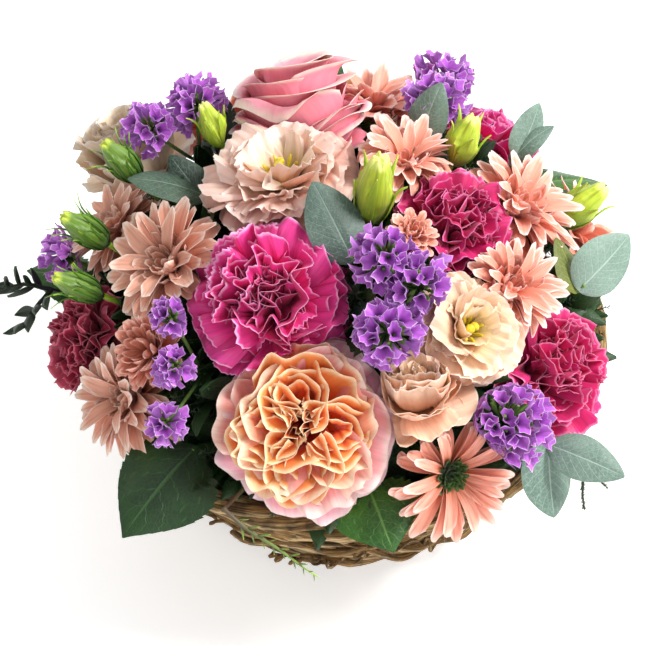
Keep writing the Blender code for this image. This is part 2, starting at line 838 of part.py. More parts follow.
def blade(leaf, root, outward):
    """A thin bent leaf with its edge whole or toothed, triangulated alike on both faces."""
    way = sph(leaf.azimuth, leaf.polar)
    face = (outward - way * outward.dot(way)).normalized()
    face = Matrix.Rotation(math.radians(leaf.twist), 3, way) @ face
    side = way.cross(face)
    rows = 2 * leaf.teeth if leaf.teeth else (3 if leaf.width < 22 else 4)
    spine = root - way * 2.0 * MM
    upper, lower = [], []
    step = (leaf.length + 2.0) / (rows + 1) * MM
    for i in range(rows + 2):
        share = i / (rows + 1)
        droop = math.radians(leaf.bend) * (share - 0.5) * 2
        ahead = way * math.cos(droop) - face * math.sin(droop)
        normal = face * math.cos(droop) + way * math.sin(droop)
        half = leaf.width / 2 * math.sin(math.pi * (0.015 + 0.985 * share) ** 0.8)
        if leaf.teeth and 0 < i < rows + 1:
            half *= 1.06 if i % 2 else 0.92
        half = max(half, 0.7)
        arch = side * half * MM
        sunk = normal * half * -0.18 * MM
        row = [spine - arch + sunk, spine, spine + arch + sunk]
        if i == rows + 1:
            row = [spine]
        upper.append([p + normal * BLADE / 2 * MM for p in row])
        lower.append([p - normal * BLADE / 2 * MM for p in row])
        spine = spine + ahead * step
    mesh = Mesh()
    tops = [mesh.add(row) for row in upper]
    unders = [mesh.add(row) for row in lower]
    for rows_of, flip in ((tops, False), (unders, True)):
        for near, far in zip(rows_of, rows_of[1:]):
            if len(far) == 3:
                faces = [
                    (near[0], near[1], far[1]),
                    (near[0], far[1], far[0]),
                    (near[1], near[2], far[1]),
                    (near[2], far[2], far[1]),
                ]
            else:
                faces = [(near[0], near[1], far[0]), (near[1], near[2], far[0])]
            mesh.faces += [f[::-1] for f in faces] if flip else faces
    edge_top = [r[0] for r in tops] + [r[2] for r in tops[-2::-1]] + [tops[0][1]]
    edge_low = [r[0] for r in unders] + [r[2] for r in unders[-2::-1]] + [unders[0][1]]
    for i in range(len(edge_top)):
        j = (i + 1) % len(edge_top)
        mesh.faces.append((edge_top[i], edge_top[j], edge_low[j], edge_low[i]))
    return mesh


def twig(leaf, root, outward):
    """A thin bent twig with pairs of needles along it, as closed parts that cross each other."""
    way = sph(leaf.azimuth, leaf.polar)
    face = (outward - way * outward.dot(way)).normalized()
    side = way.cross(face)
    path = []
    for share in (0.0, 0.5, 1.0):
        sag = math.radians(leaf.bend) * share * share * leaf.length * 0.5
        path.append(root + (way * leaf.length * share - face * sag) * MM)
    parts = [tube(path, [leaf.width * 0.3, leaf.width * 0.25, 0.45], 3)]
    for k in range(leaf.teeth):
        share = (k + 0.7) / (leaf.teeth + 0.3)
        middle = path[0].lerp(path[1], 2 * share) if share < 0.5 else path[1].lerp(path[2], 2 * share - 1)
        size = leaf.width * (1.9 - share)
        tips = [middle + (way * 0.7 + side * hand * 0.8 + face * 0.2) * size * MM for hand in (-1, 1)]
        parts.append(tube([tips[0], middle - way * 0.1 * MM, tips[1]], [0.4, 0.7, 0.4], 3))
    return parts


def sprig(spec):
    """A stem from the foam with its leaves or twigs, fused as one body."""
    tip = dome_point(spec.azimuth, spec.polar, spec.lift)
    way = (tip - STEM_FOCUS).normalized()
    foot, _ = stem_foot(tip)
    parts = [tube([foot, tip], [spec.stem_r, spec.stem_r * 0.8], 4).object(spec.name, spec.colour)]
    for leaf in spec.leaves:
        root = tip - way * (leaf.down + 1.0) * MM
        grown = twig(leaf, root, way) if spec.colour == "fern" else [blade(leaf, root, way)]
        parts += [mesh.object("leaf", spec.colour) for mesh in grown]
    return fuse(parts, spec.name)


# ---- basket and filling -------------------------------------------------------------------------
def turned(name, colour, outline, sides, wave=None):
    """A closed body turned round Z from an outline that starts and ends on the axis or on itself."""
    mesh = Mesh()
    rings = []
    for index, (radius, height) in enumerate(outline):
        if radius < 1e-6:
            rings.append(mesh.add([(0, 0, height * MM)]))
            continue
        ring = []
        for k in range(sides):
            a = 2 * math.pi * k / sides
            dr, dz = wave(index, a) if wave else (0.0, 0.0)
            r = (radius + dr) * MM
            ring.append((r * math.cos(a), r * math.sin(a), (height + dz) * MM))
        rings.append(mesh.add(ring))
    closed = len(rings[0]) > 1 and len(rings[-1]) > 1
    for lower, upper in zip(rings, rings[1:] + (rings[:1] if closed else [])):
        if len(lower) == 1:
            mesh.cap(upper, lower[0], up=False)
        elif len(upper) == 1:
            mesh.cap(lower, upper[0])
        else:
            mesh.bridge(lower, upper)
    return mesh.object(name, colour)


def basket():
    """The coiled base, the wound wall and the twisted rim."""
    turned(
        "basket_base",
        "vine",
        [(0, 0), (BASE_R - 8, 0), (BASE_R, BASE_H * 0.5), (BASE_R - 4, BASE_H), (0, BASE_H)],
        WALL_SIDES,
    )
    low = BASE_H + TOUCH_GAP
    high = RIM_Z - RIM_VINE_R * RIM_LOBE - TOUCH_GAP
    outline = []
    for k in range(WALL_COURSES):
        for part, bulge in ((0.0, -2.4), (0.5, 1.8)):
            share = (k + part) / WALL_COURSES
            outline.append((BASE_R + (WALL_TOP_R - BASE_R) * share + bulge, low + (high - low) * share))
    outline += [(WALL_TOP_R - 2, high), (WALL_TOP_R - WALL_THICK, high), (BASE_R - WALL_THICK, low)]
    rings = 2 * WALL_COURSES

    def wave(index, angle):
        """Each course of vine wanders up, down, in and out on its way round."""
        if not 0 < index < rings:
            return 0.0, 0.0
        course = (index + 1) // 2
        rise = 2.4 * math.sin(3 * angle + 1.9 * course) + 1.2 * math.sin(5 * angle + 0.7 * course)
        return 1.2 * math.sin(4 * angle + 2.3 * course), rise

    wall = turned("basket_wall", "vine", outline, WALL_SIDES, wave)
    fuse([wall] + [loose_vine(*vine) for vine in LOOSE_VINES], "basket_wall")
    mesh = Mesh()
    around, sides, turns = 46, 6, 9
    rings = []
    for k in range(around):
        a = 2 * math.pi * k / around
        ring = []
        for i in range(sides):
            b = 2 * math.pi * i / sides
            lobe = RIM_VINE_R * (1 + (RIM_LOBE - 1) * math.cos(2 * b - turns * a))
            r = RIM_R + lobe * math.cos(b)
            ring.append((r * math.cos(a) * MM, r * math.sin(a) * MM, (RIM_Z + lobe * math.sin(b)) * MM))
        rings.append(mesh.add(ring))
    for near, far in zip(rings, rings[1:] + rings[:1]):
        mesh.bridge(far, near)
    mesh.object("basket_rim", "vine")


def loose_vine(start, end, low, high, seed):
    """A thin vine that wanders over the wall from one azimuth and height to another."""
    dice = random.Random(seed)
    steps = VINE_STEPS
    path = []
    for k in range(steps + 1):
        share = k / steps
        a = math.radians(start + (end - start) * share)
        height = low + (high - low) * math.sin(math.pi * share) + dice.uniform(-3, 3)
        wall = BASE_R + (WALL_TOP_R - BASE_R) * height / RIM_Z
        loop = (4.5 if 0 < k < steps and k % 2 else 0.0) + dice.uniform(0, 1.5)
        r = wall + loop
        path.append(Vector((r * math.cos(a), r * math.sin(a), height)) * MM)
    return tube(path, [VINE_R] * (steps + 1), 4).object("loose_vine", "vine")


def liner():
    """A thin film bowl between the vines and the foam."""
    gap = FOAM_GAP + LINER_THICK
    (foot_r, foot_z), (mid_r, mid_z) = foam_profile()[:2]
    floor = BASE_H + TOUCH_GAP
    turned(
        "liner",
        "film",
        [
            (0, floor),
            (foot_r + gap, floor),
            (mid_r + gap, mid_z),
            (mid_r + FOAM_GAP, mid_z),
            (foot_r + FOAM_GAP, floor + LINER_THICK),
            (0, floor + LINER_THICK),
        ],
        FOAM_SIDES,
    )


def foam(feet):
    """The soaked block that holds every stem, with one plain hole for each."""
    outline = foam_profile()
    start = outline[0][1]
    block = turned("foam", "foam", [(0, start)] + outline + [(0, FOAM_TOP_Z)], FOAM_SIDES)
    cutters = []
    for foot, way, radius in feet:
        size = (radius + HOLE_SLACK) / math.cos(math.pi / HOLE_SIDES)
        ends = [foot - way * 2 * MM, foot + way * (STEM_DEPTH + 14) * MM]
        cutters.append(tube(ends, [size, size], HOLE_SIDES).object("hole", "foam"))
    fuse([block], "foam", cutters)


def main():
    """Clears the scene, then makes every node of the arrangement."""
    for obj in list(bpy.data.objects):
        bpy.data.objects.remove(obj)
    dice = random.Random(SEED)
    balls = {bloom.name: [head_ball(bloom)] for bloom in BLOOMS}
    for spec in BUDS:
        balls[spec.name] = [(dome_point(spec.azimuth, spec.polar, spec.lift), spec.radius * MM)]
    for spec in STATICE:
        balls[spec.name] = [
            (dome_point(a, p, lift), radius * MM) for a, p, lift, radius, _ in spec.tufts
        ]

    def others(name):
        """The balls of every head but this one."""
        return [ball for key, group in balls.items() if key != name for ball in group]

    feet = []

    def stand(base, radius):
        """Keeps the hole that a stem towards base needs in the foam."""
        foot, _ = stem_foot(base)
        feet.append((foot, (base - foot).normalized(), radius))

    for spec in BLOOMS:
        flower(spec, others(spec.name), dice)
        face = dome_point(spec.azimuth, spec.polar, spec.lift)
        stand(face, KINDS[spec.kind].stem_r)
    for spec in BUDS:
        bud(spec, others(spec.name))
        stand(dome_point(spec.azimuth, spec.polar, spec.lift), BUD_STEM_R)
    for spec in STATICE:
        statice(spec, others(spec.name), dice)
        middles = [dome_point(a, p, lift) for a, p, lift, _, _ in spec.tufts]
        stand(sum(middles, Vector()) / len(middles), SPRAY_STEM_R)
    for spec in SPRIGS:
        sprig(spec)
        stand(dome_point(spec.azimuth, spec.polar, spec.lift), spec.stem_r)
    basket()
    liner()
    foam(feet)


main()
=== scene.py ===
"""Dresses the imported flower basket: petals, leaves, vines and their finishes, in the model's own frame.

The basket stands on Z = 0 with its axis on +Z and its front towards -Y. Sizes in the tables are in
millimetres and degrees, as in the part's own source; meshes are in metres. Every head, bud, spray and
leafy stem keeps the seat, direction and reach of the solid that it replaces.
"""

import logging
import math
import random
from dataclasses import dataclass, replace
from enum import Enum
from functools import cache, cached_property
from typing import Any, ClassVar

import bpy
import numpy as np
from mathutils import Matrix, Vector


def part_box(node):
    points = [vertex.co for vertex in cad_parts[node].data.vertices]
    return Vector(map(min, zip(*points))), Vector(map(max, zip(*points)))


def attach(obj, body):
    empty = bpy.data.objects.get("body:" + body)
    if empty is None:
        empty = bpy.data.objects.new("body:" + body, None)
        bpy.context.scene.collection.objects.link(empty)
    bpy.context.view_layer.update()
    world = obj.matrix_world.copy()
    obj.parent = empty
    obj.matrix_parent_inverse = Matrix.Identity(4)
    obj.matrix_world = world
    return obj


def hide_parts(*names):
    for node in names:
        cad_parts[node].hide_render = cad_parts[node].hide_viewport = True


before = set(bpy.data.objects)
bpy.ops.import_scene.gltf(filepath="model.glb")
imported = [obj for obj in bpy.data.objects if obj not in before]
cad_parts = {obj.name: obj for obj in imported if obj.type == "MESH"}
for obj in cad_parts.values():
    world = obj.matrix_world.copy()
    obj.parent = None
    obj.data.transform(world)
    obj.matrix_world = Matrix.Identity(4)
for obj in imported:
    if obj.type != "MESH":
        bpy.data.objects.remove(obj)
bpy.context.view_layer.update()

Array = np.ndarray
Ball = tuple[Array, float]
log = logging.getLogger("flower_basket")

MM = 0.001
BODY = "root"
GOLDEN_ANGLE = math.pi * (3 - math.sqrt(5))

# ---- driving sizes, in millimetres unless they come from the frame ----
STEM_FOCUS = np.array((0.0, 0.0, 40.0)) * MM
STEM_DEPTH = 20.0
DOME_CENTRE = np.array((0.0, 0.0, 85.0)) * MM
DOME_R = 135.0
DOME_H = 115.0
FOAM_PROFILE = [(62.0, 10.55), (86.0, 70.0), (92.0, 92.0), (79.0, 115.0), (46.0, 134.0), (0.0, 140.0)]
RIM_LOW, RIM_HIGH = (np.array(corner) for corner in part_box("basket_rim"))
RIM_Z = (RIM_LOW[2] + RIM_HIGH[2]) / 2
RIM_HALF = (RIM_HIGH[2] - RIM_LOW[2]) / 2
RIM_R = RIM_HIGH[0] - RIM_HALF
BASE_HIGH = np.array(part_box("basket_base")[1])
BASE_R = BASE_HIGH[0]
WALL_TOP_R = 119 * MM


# ---- places and directions ----
def unit(vector: Array) -> Array:
    """The vector, or each row of an array of them, at length one."""
    return vector / np.maximum(np.linalg.norm(vector, axis=-1, keepdims=True), 1e-12)


def direction(azimuth: float, polar: float) -> Array:
    """Unit vector of a direction given by its azimuth and its angle from +Z, in degrees."""
    a, p = math.radians(azimuth), math.radians(polar)
    return np.array((math.sin(p) * math.cos(a), math.sin(p) * math.sin(a), math.cos(p)))


def dome_point(azimuth: float, polar: float, lift: float = 0.0) -> Array:
    """Point of the flower dome in a direction from its centre, raised by lift millimetres."""
    reach = 1 / math.hypot(math.sin(math.radians(polar)) / DOME_R, math.cos(math.radians(polar)) / DOME_H)
    return DOME_CENTRE + direction(azimuth, polar) * (reach + lift) * MM


def line(start: Array, end: Array, count: int) -> Array:
    """Points at even steps from a start to an end."""
    return start + (end - start) * np.linspace(0, 1, count)[:, None]


def ring(count: int) -> Array:
    """Angles at even steps once round."""
    return np.linspace(0, math.tau, count, endpoint=False)


def weave(low: float, high: float, cols: int, rows: int) -> tuple[Array, Array]:
    """Grids of a value across, from low to high, and of the share along, from 0 to 1."""
    return np.meshgrid(np.linspace(low, high, cols), np.linspace(0, 1, rows))


def polar_points(out: Array, around: Array, height: Array) -> Array:
    """Points at a distance out, an angle round and a height on +Z, of one shape."""
    return np.stack(np.broadcast_arrays(out * np.cos(around), out * np.sin(around), height), axis=-1)


def turn_to(axis: Array) -> Array:
    """Rotation matrix whose Z column is the axis and whose X column lies level.

    Args:
        axis: The way that Z turns to.

    Returns:
        The matrix.
    """
    z = unit(axis)
    side = np.cross((0.0, 0.0, 1.0), z)
    x = unit(side) if np.linalg.norm(side) > 1e-4 else np.array((1.0, 0.0, 0.0))
    return np.stack((x, np.cross(z, x), z), axis=1)


def spin(points: Array, angle: float) -> Array:
    """Points turned round Z by an angle in radians."""
    c, s = math.cos(angle), math.sin(angle)
    return points @ np.array(((c, s, 0.0), (-s, c, 0.0), (0.0, 0.0, 1.0)))


def stem_foot(top: Array) -> Array:
    """Where the stem that grows to a point ends, a set depth under the foam's skin.

    Args:
        top: The point that the stem grows to.

    Returns:
        Its foot, on the line from the stem focus to the top.
    """
    way = unit(top - STEM_FOCUS)
    flat, focus, reach = math.hypot(way[0], way[1]), STEM_FOCUS[2] / MM, DOME_R
    for (r0, z0), (r1, z1) in zip(FOAM_PROFILE, FOAM_PROFILE[1:]):
        cross = flat * (z1 - z0) - way[2] * (r1 - r0)
        along = (r0 * (z1 - z0) - (z0 - focus) * (r1 - r0)) / cross
        z = focus + along * way[2]
        if along > 0 and min(z0, z1) - 1e-6 <= z <= max(z0, z1) + 1e-6:
            reach = along
            break
    return STEM_FOCUS + way * (reach - STEM_DEPTH) * MM


@dataclass(frozen=True)
class Seat:
    """Where a piece grows from, which way it faces, and the planes that part it from its neighbours.

    Each row of feet is a point on a plane, and the same row of inward is its normal back to the piece.
    """

    base: Array
    turn: Array
    feet: Array
    inward: Array

    RIM_ROOM: ClassVar[float] = 14 * MM
    NEAR: ClassVar[float] = 1.5
    LEAST_REACH: ClassVar[float] = 1.5 * MM
    POWER: ClassVar[int] = 6

    @classmethod
    def among(cls, base: Array, way: Array, ball: Ball, others: list[Ball]) -> "Seat":
        """A seat among balls and inside the rim.

        Args:
            base: The point that the piece grows from.
            way: The way that it faces.
            ball: Centre and radius, in metres, of the ball that stands for it.
            others: The same for its neighbours.

        Returns:
            The seat.
        """
        (centre, radius), feet, inward = ball, [], []
        rim = unit(centre * (1, 1, 0)) * RIM_R + (0, 0, RIM_Z)
        away = centre - rim
        if np.linalg.norm(away) < radius + cls.RIM_ROOM:
            feet.append(rim + unit(away) * RIM_HALF)
            inward.append(unit(away))
        for other, other_r in others:
            away = other - centre
            gap = float(np.linalg.norm(away))
            if 1e-6 < gap < (radius + other_r) * cls.NEAR:
                feet.append(centre + away / gap * (gap * gap + radius**2 - other_r**2) / (2 * gap))
                inward.append(-away / gap)
        return cls(base, turn_to(way), np.array(feet).reshape(-1, 3), np.array(inward).reshape(-1, 3))

    def place(self, local: Array, slack: float = 0.0) -> Array:
        """Brings local points into the model's frame, drawn softly back to the base behind every plane.

        Args:
            local: Points, in any array shape that ends in three.
            slack: How far past the planes they may come, in metres.

        Returns:
            The placed points, in the same shape.
        """
        away = local.reshape(-1, 3) @ self.turn.T
        reach = np.linalg.norm(away, axis=1)
        way = away / np.maximum(reach, 1e-9)[:, None]
        for foot, inward in zip(self.feet, self.inward):
            fall = -(way @ inward)
            room = ((self.base - foot) @ inward + slack) / np.maximum(fall, 1e-3)
            room = np.maximum(room, self.LEAST_REACH)
            held = reach / (1 + (reach / room) ** self.POWER) ** (1 / self.POWER)
            reach = np.where(fall > 1e-3, held, reach)
        return (self.base + way * reach[:, None]).reshape(local.shape)

    def settle(self, mesh: bpy.types.Mesh, slack: float) -> None:
        """Places the points of a mesh that was made round the origin.

        Args:
            mesh: The mesh.
            slack: How far past the planes its points may come, in metres.
        """
        flat = np.empty(len(mesh.vertices) * 3, dtype=np.float32)
        mesh.vertices.foreach_get("co", flat)
        placed = self.place(flat.reshape(-1, 3).astype(float), slack)
        mesh.vertices.foreach_set("co", placed.astype(np.float32).ravel())
        mesh.update()


# ---- meshes ----
class Tissue:
    """Collects closed thin sheets and round lofts into one mesh, with marks for the finishes.

    Every point carries its share across and along its own sheet, the face it lies on (0 upper,
    1 under), and a tint and an age that its whole sheet shares.
    """

    MARKS: ClassVar[tuple[str, ...]] = ("across", "along", "under", "tint", "age")
    SHARP: ClassVar[float] = math.radians(62)

    def __init__(self) -> None:
        """An empty tissue."""
        self.points: list[Array] = []
        self.marks: list[Array] = []
        self.faces: list[list[int]] = []
        self.count = 0

    def _take(self, points: Array, marks: list[Any], faces: list[Array]) -> None:
        """Adds points.

        Args:
            points: The points as rows.
            marks: One number or row of numbers for each mark.
            faces: Arrays of faces that count from the first of the points.
        """
        rows = [np.broadcast_to(np.asarray(mark, float), len(points)) for mark in marks]
        self.points.append(points)
        self.marks.append(np.stack(rows, axis=1))
        for group in faces:
            self.faces += (group + self.count).tolist()
        self.count += len(points)

    def sheet(self, grid: Array, thick: float, tint: float = 0.5, age: float = 0.0) -> None:
        """Adds a thin closed sheet.

        Args:
            grid: Points of its middle, as rows along and columns across.
            thick: Its thickness in millimetres, which thins towards the edge.
            tint: Shade of the whole sheet, from 0 to 1.
            age: Place in its head, from 0 outside to 1 inside.
        """
        rows, cols = grid.shape[:2]
        size = rows * cols
        normal = unit(np.cross(np.gradient(grid, axis=1), np.gradient(grid, axis=0)))
        across, along = weave(0, 1, cols, rows)
        edge = np.minimum(1 - along, np.minimum(across, 1 - across))
        half = thick / 2 * MM * (0.3 + 0.7 * np.minimum(edge * 6, 1))[..., None]
        points = np.stack((grid + normal * half, grid - normal * half)).reshape(-1, 3)
        number = np.arange(size).reshape(rows, cols)
        low, high = number[:-1], number[1:]
        upper = np.stack((low[:, :-1], low[:, 1:], high[:, 1:], high[:, :-1]), -1).reshape(-1, 4)
        rim = np.concatenate((number[0, :-1], number[:-1, -1], number[-1, :0:-1], number[:0:-1, 0]))
        after = np.roll(rim, -1)
        edges = np.stack((after, rim, rim + size, after + size), -1)
        under = np.repeat((0.0, 1.0), size)
        marks = [np.tile(across.ravel(), 2), np.tile(along.ravel(), 2), under, tint, age]
        self._take(points, marks, [upper, upper[:, ::-1] + size, edges])

    def loft(self, rings: Array, tint: float = 0.5) -> None:
        """Adds a closed body.

        Args:
            rings: Points as rings and corners; each ring runs left round the way the rings advance.
            tint: Shade of the whole body, from 0 to 1.
        """
        count, sides = rings.shape[:2]
        size = count * sides
        number = np.arange(size).reshape(count, sides)
        low, high = number[:-1], number[1:]
        quads = np.stack((low, np.roll(low, -1, 1), np.roll(high, -1, 1), high), -1).reshape(-1, 4)
        foot = np.stack((np.roll(number[0], -1), number[0], np.full(sides, size)), -1)
        top = np.stack((number[-1], np.roll(number[-1], -1), np.full(sides, size + 1)), -1)
        points = np.concatenate((rings.reshape(-1, 3), rings[:1].mean(1), rings[-1:].mean(1)))
        around = np.append(np.tile(np.abs(np.linspace(-1, 1, sides, endpoint=False)), count), (0.5, 0.5))
        along = np.append(np.repeat(np.linspace(0, 1, count), sides), (0.0, 1.0))
        self._take(points, [around, along, 0.0, tint, 0.0], [quads, foot, top])

    def tube(self, path: Array, radii: Any, sides: int = 8, tint: float = 0.5) -> None:
        """Adds a closed round tube.

        Args:
            path: Points along its middle.
            radii: Its radius in millimetres, one for all points or one for each.
            sides: How many corners it has round it.
            tint: Shade of the whole tube, from 0 to 1.
        """
        way = unit(np.gradient(path, axis=0))
        across = turn_to(way[0])[:, 0]
        turns = ring(sides)[:, None]
        rings = []
        for point, ahead, radius in zip(path, way, np.broadcast_to(radii, len(path))):
            across = unit(across - ahead * (across @ ahead))
            circle = np.cos(turns) * across + np.sin(turns) * np.cross(ahead, across)
            rings.append(point + circle * (radius * MM))
        self.loft(np.array(rings), tint)

    def mesh(self, name: str) -> bpy.types.Mesh:
        """The collected mesh, smooth but for its thin edges.

        Args:
            name: The mesh's name.

        Returns:
            The mesh, with its UV map and marks.
        """
        mesh = bpy.data.meshes.new(name)
        mesh.from_pydata(np.concatenate(self.points), [], self.faces)
        marks = np.concatenate(self.marks).astype(np.float32)
        loops = np.empty(len(mesh.loops), dtype=np.int32)
        mesh.loops.foreach_get("vertex_index", loops)
        mesh.uv_layers.new(name="petal").data.foreach_set("uv", marks[loops, :2].ravel())
        for column, mark in enumerate(self.MARKS[2:], start=2):
            mesh.attributes.new(mark, "FLOAT", "POINT").data.foreach_set("value", marks[:, column].copy())
        mesh.shade_smooth()
        mesh.set_sharp_from_angle(angle=self.SHARP)
        return mesh


def linked(name: str, data: Any) -> bpy.types.Object:
    """Puts a new object into the scene.

    Args:
        name: Its name.
        data: Its mesh, lamp or camera.

    Returns:
        The object.
    """
    made = bpy.data.objects.new(name, data)
    bpy.context.scene.collection.objects.link(made)
    return made


def joined(name: str, meshes: list[bpy.types.Mesh]) -> bpy.types.Mesh:
    """Joins meshes with the same marks.

    Args:
        name: Name of the joined mesh.
        meshes: The meshes.

    Returns:
        All of them as one.
    """
    objects = [linked(name, mesh) for mesh in meshes]
    with bpy.context.temp_override(active_object=objects[0], selected_editable_objects=objects):
        bpy.ops.object.join()
    mesh = objects[0].data
    bpy.data.objects.remove(objects[0])
    return mesh


def piece(name: str, mesh: bpy.types.Mesh, finish: "Finish", slot: str, *nodes: str) -> None:
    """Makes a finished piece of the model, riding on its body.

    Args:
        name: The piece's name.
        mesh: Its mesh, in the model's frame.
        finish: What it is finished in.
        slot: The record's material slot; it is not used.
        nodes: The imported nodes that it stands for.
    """
    made = linked(name, mesh)
    mesh.materials.clear()
    mesh.materials.append(finish.material())
    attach(made, BODY)
    if nodes:
        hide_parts(*nodes)
    log.info("%s: %d faces", name, len(mesh.polygons))


# ---- node trees ----
class Value:
    """A socket in an expression; each operator or function adds its Math node to the tree."""

    def __init__(self, graph: "Graph", socket: bpy.types.NodeSocket) -> None:
        """Wraps a socket of a graph's tree."""
        self.graph = graph
        self.socket = socket

    def _math(self, operation: str, first: Any, second: Any = 0.0) -> "Value":
        """One Math node on two values."""
        return self.graph.node("ShaderNodeMath", {"operation": operation}, {0: first, 1: second})

    def __add__(self, other: Any) -> "Value":
        """Sum."""
        return self._math("ADD", self, other)

    def __sub__(self, other: Any) -> "Value":
        """Difference."""
        return self._math("SUBTRACT", self, other)

    def __rsub__(self, other: Any) -> "Value":
        """Difference from a number."""
        return self._math("SUBTRACT", other, self)

    def __mul__(self, other: Any) -> "Value":
        """Product."""
        return self._math("MULTIPLY", self, other)

    def __truediv__(self, other: Any) -> "Value":
        """Quotient."""
        return self._math("DIVIDE", self, other)

    def __pow__(self, other: Any) -> "Value":
        """Power."""
        return self._math("POWER", self, other)

    def __abs__(self) -> "Value":
        """Size without sign."""
        return self._math("ABSOLUTE", self)

    __radd__, __rmul__ = __add__, __mul__

    def sin(self) -> "Value":
        """Sine."""
        return self._math("SINE", self)

    def cos(self) -> "Value":
        """Cosine."""
        return self._math("COSINE", self)

    def arcsin(self) -> "Value":
        """Angle whose sine this is."""
        return self._math("ARCSINE", self)

    def smaller(self, other: Any) -> "Value":
        """The smaller of two values."""
        return self._math("MINIMUM", self, other)

    def larger(self, other: Any) -> "Value":
        """The larger of two values."""
        return self._math("MAXIMUM", self, other)

    def step(self, low: float, high: float) -> "Value":
        """Smooth step: 0 below low, 1 above high."""
        values = {"Value": self, "From Min": low, "From Max": high}
        return self.graph.node("ShaderNodeMapRange", {"interpolation_type": "SMOOTHSTEP"}, values)


class Graph:
    """Adds nodes to a shader or geometry tree and links them."""

    def __init__(self, tree: bpy.types.NodeTree) -> None:
        """Takes the tree that the nodes go into."""
        self.tree = tree

    def _socket(self, sockets: Any, key: str | int) -> bpy.types.NodeSocket:
        """A socket by its index, identifier or name, in that order."""
        exact = (s for s in sockets if s.identifier == key and not isinstance(key, int))
        return next(exact, None) or sockets[key]

    def node(self, kind: str, settings: dict[str, Any], values: dict[Any, Any], out: str | int = -1) -> Value:
        """Adds one node.

        Args:
            kind: The node's type.
            settings: Its properties, set before its sockets.
            values: What each input takes: a number, a data block or another value.
            out: The output to hand back; the first enabled one if left out.

        Returns:
            That output.
        """
        node = self.tree.nodes.new(kind)
        for name, setting in settings.items():
            setattr(node, name, setting)
        for key, value in values.items():
            self.give(self._socket(node.inputs, key), value)
        if out == -1:
            return Value(self, next(s for s in node.outputs if s.enabled))
        return Value(self, self._socket(node.outputs, out))

    def give(self, socket: bpy.types.NodeSocket, value: Any) -> None:
        """Feeds a socket a link or a constant.

        Args:
            socket: The socket.
            value: Another value, a number or a data block.
        """
        if isinstance(value, Value):
            self.tree.links.new(value.socket, socket)
        else:
            socket.default_value = value

    def vector(self, x: Any, y: Any, z: Any) -> Value:
        """A vector of three values."""
        return self.node("ShaderNodeCombineXYZ", {}, {"X": x, "Y": y, "Z": z})

    def longer(self, vector: Value, factor: Value) -> Value:
        """A vector times a value."""
        return self.node("ShaderNodeVectorMath", {"operation": "SCALE"}, {0: vector, "Scale": factor})

    def split(self, vector: Value) -> tuple[Value, ...]:
        """The three values of a vector."""
        first = self.node("ShaderNodeSeparateXYZ", {}, {0: vector})
        return tuple(Value(self, socket) for socket in first.socket.node.outputs)

    def noise(self, vector: Value, scale: float, detail: float = 3.0, rough: float = 0.55) -> Value:
        """Noise from 0 to 1.

        Args:
            vector: Where it is read.
            scale: How fine it is.
            detail: How many finer layers it has.
            rough: How strong these are.

        Returns:
            The noise.
        """
        values = {"Vector": vector, "Scale": scale, "Detail": detail, "Roughness": rough}
        return self.node("ShaderNodeTexNoise", {}, values, "Fac")


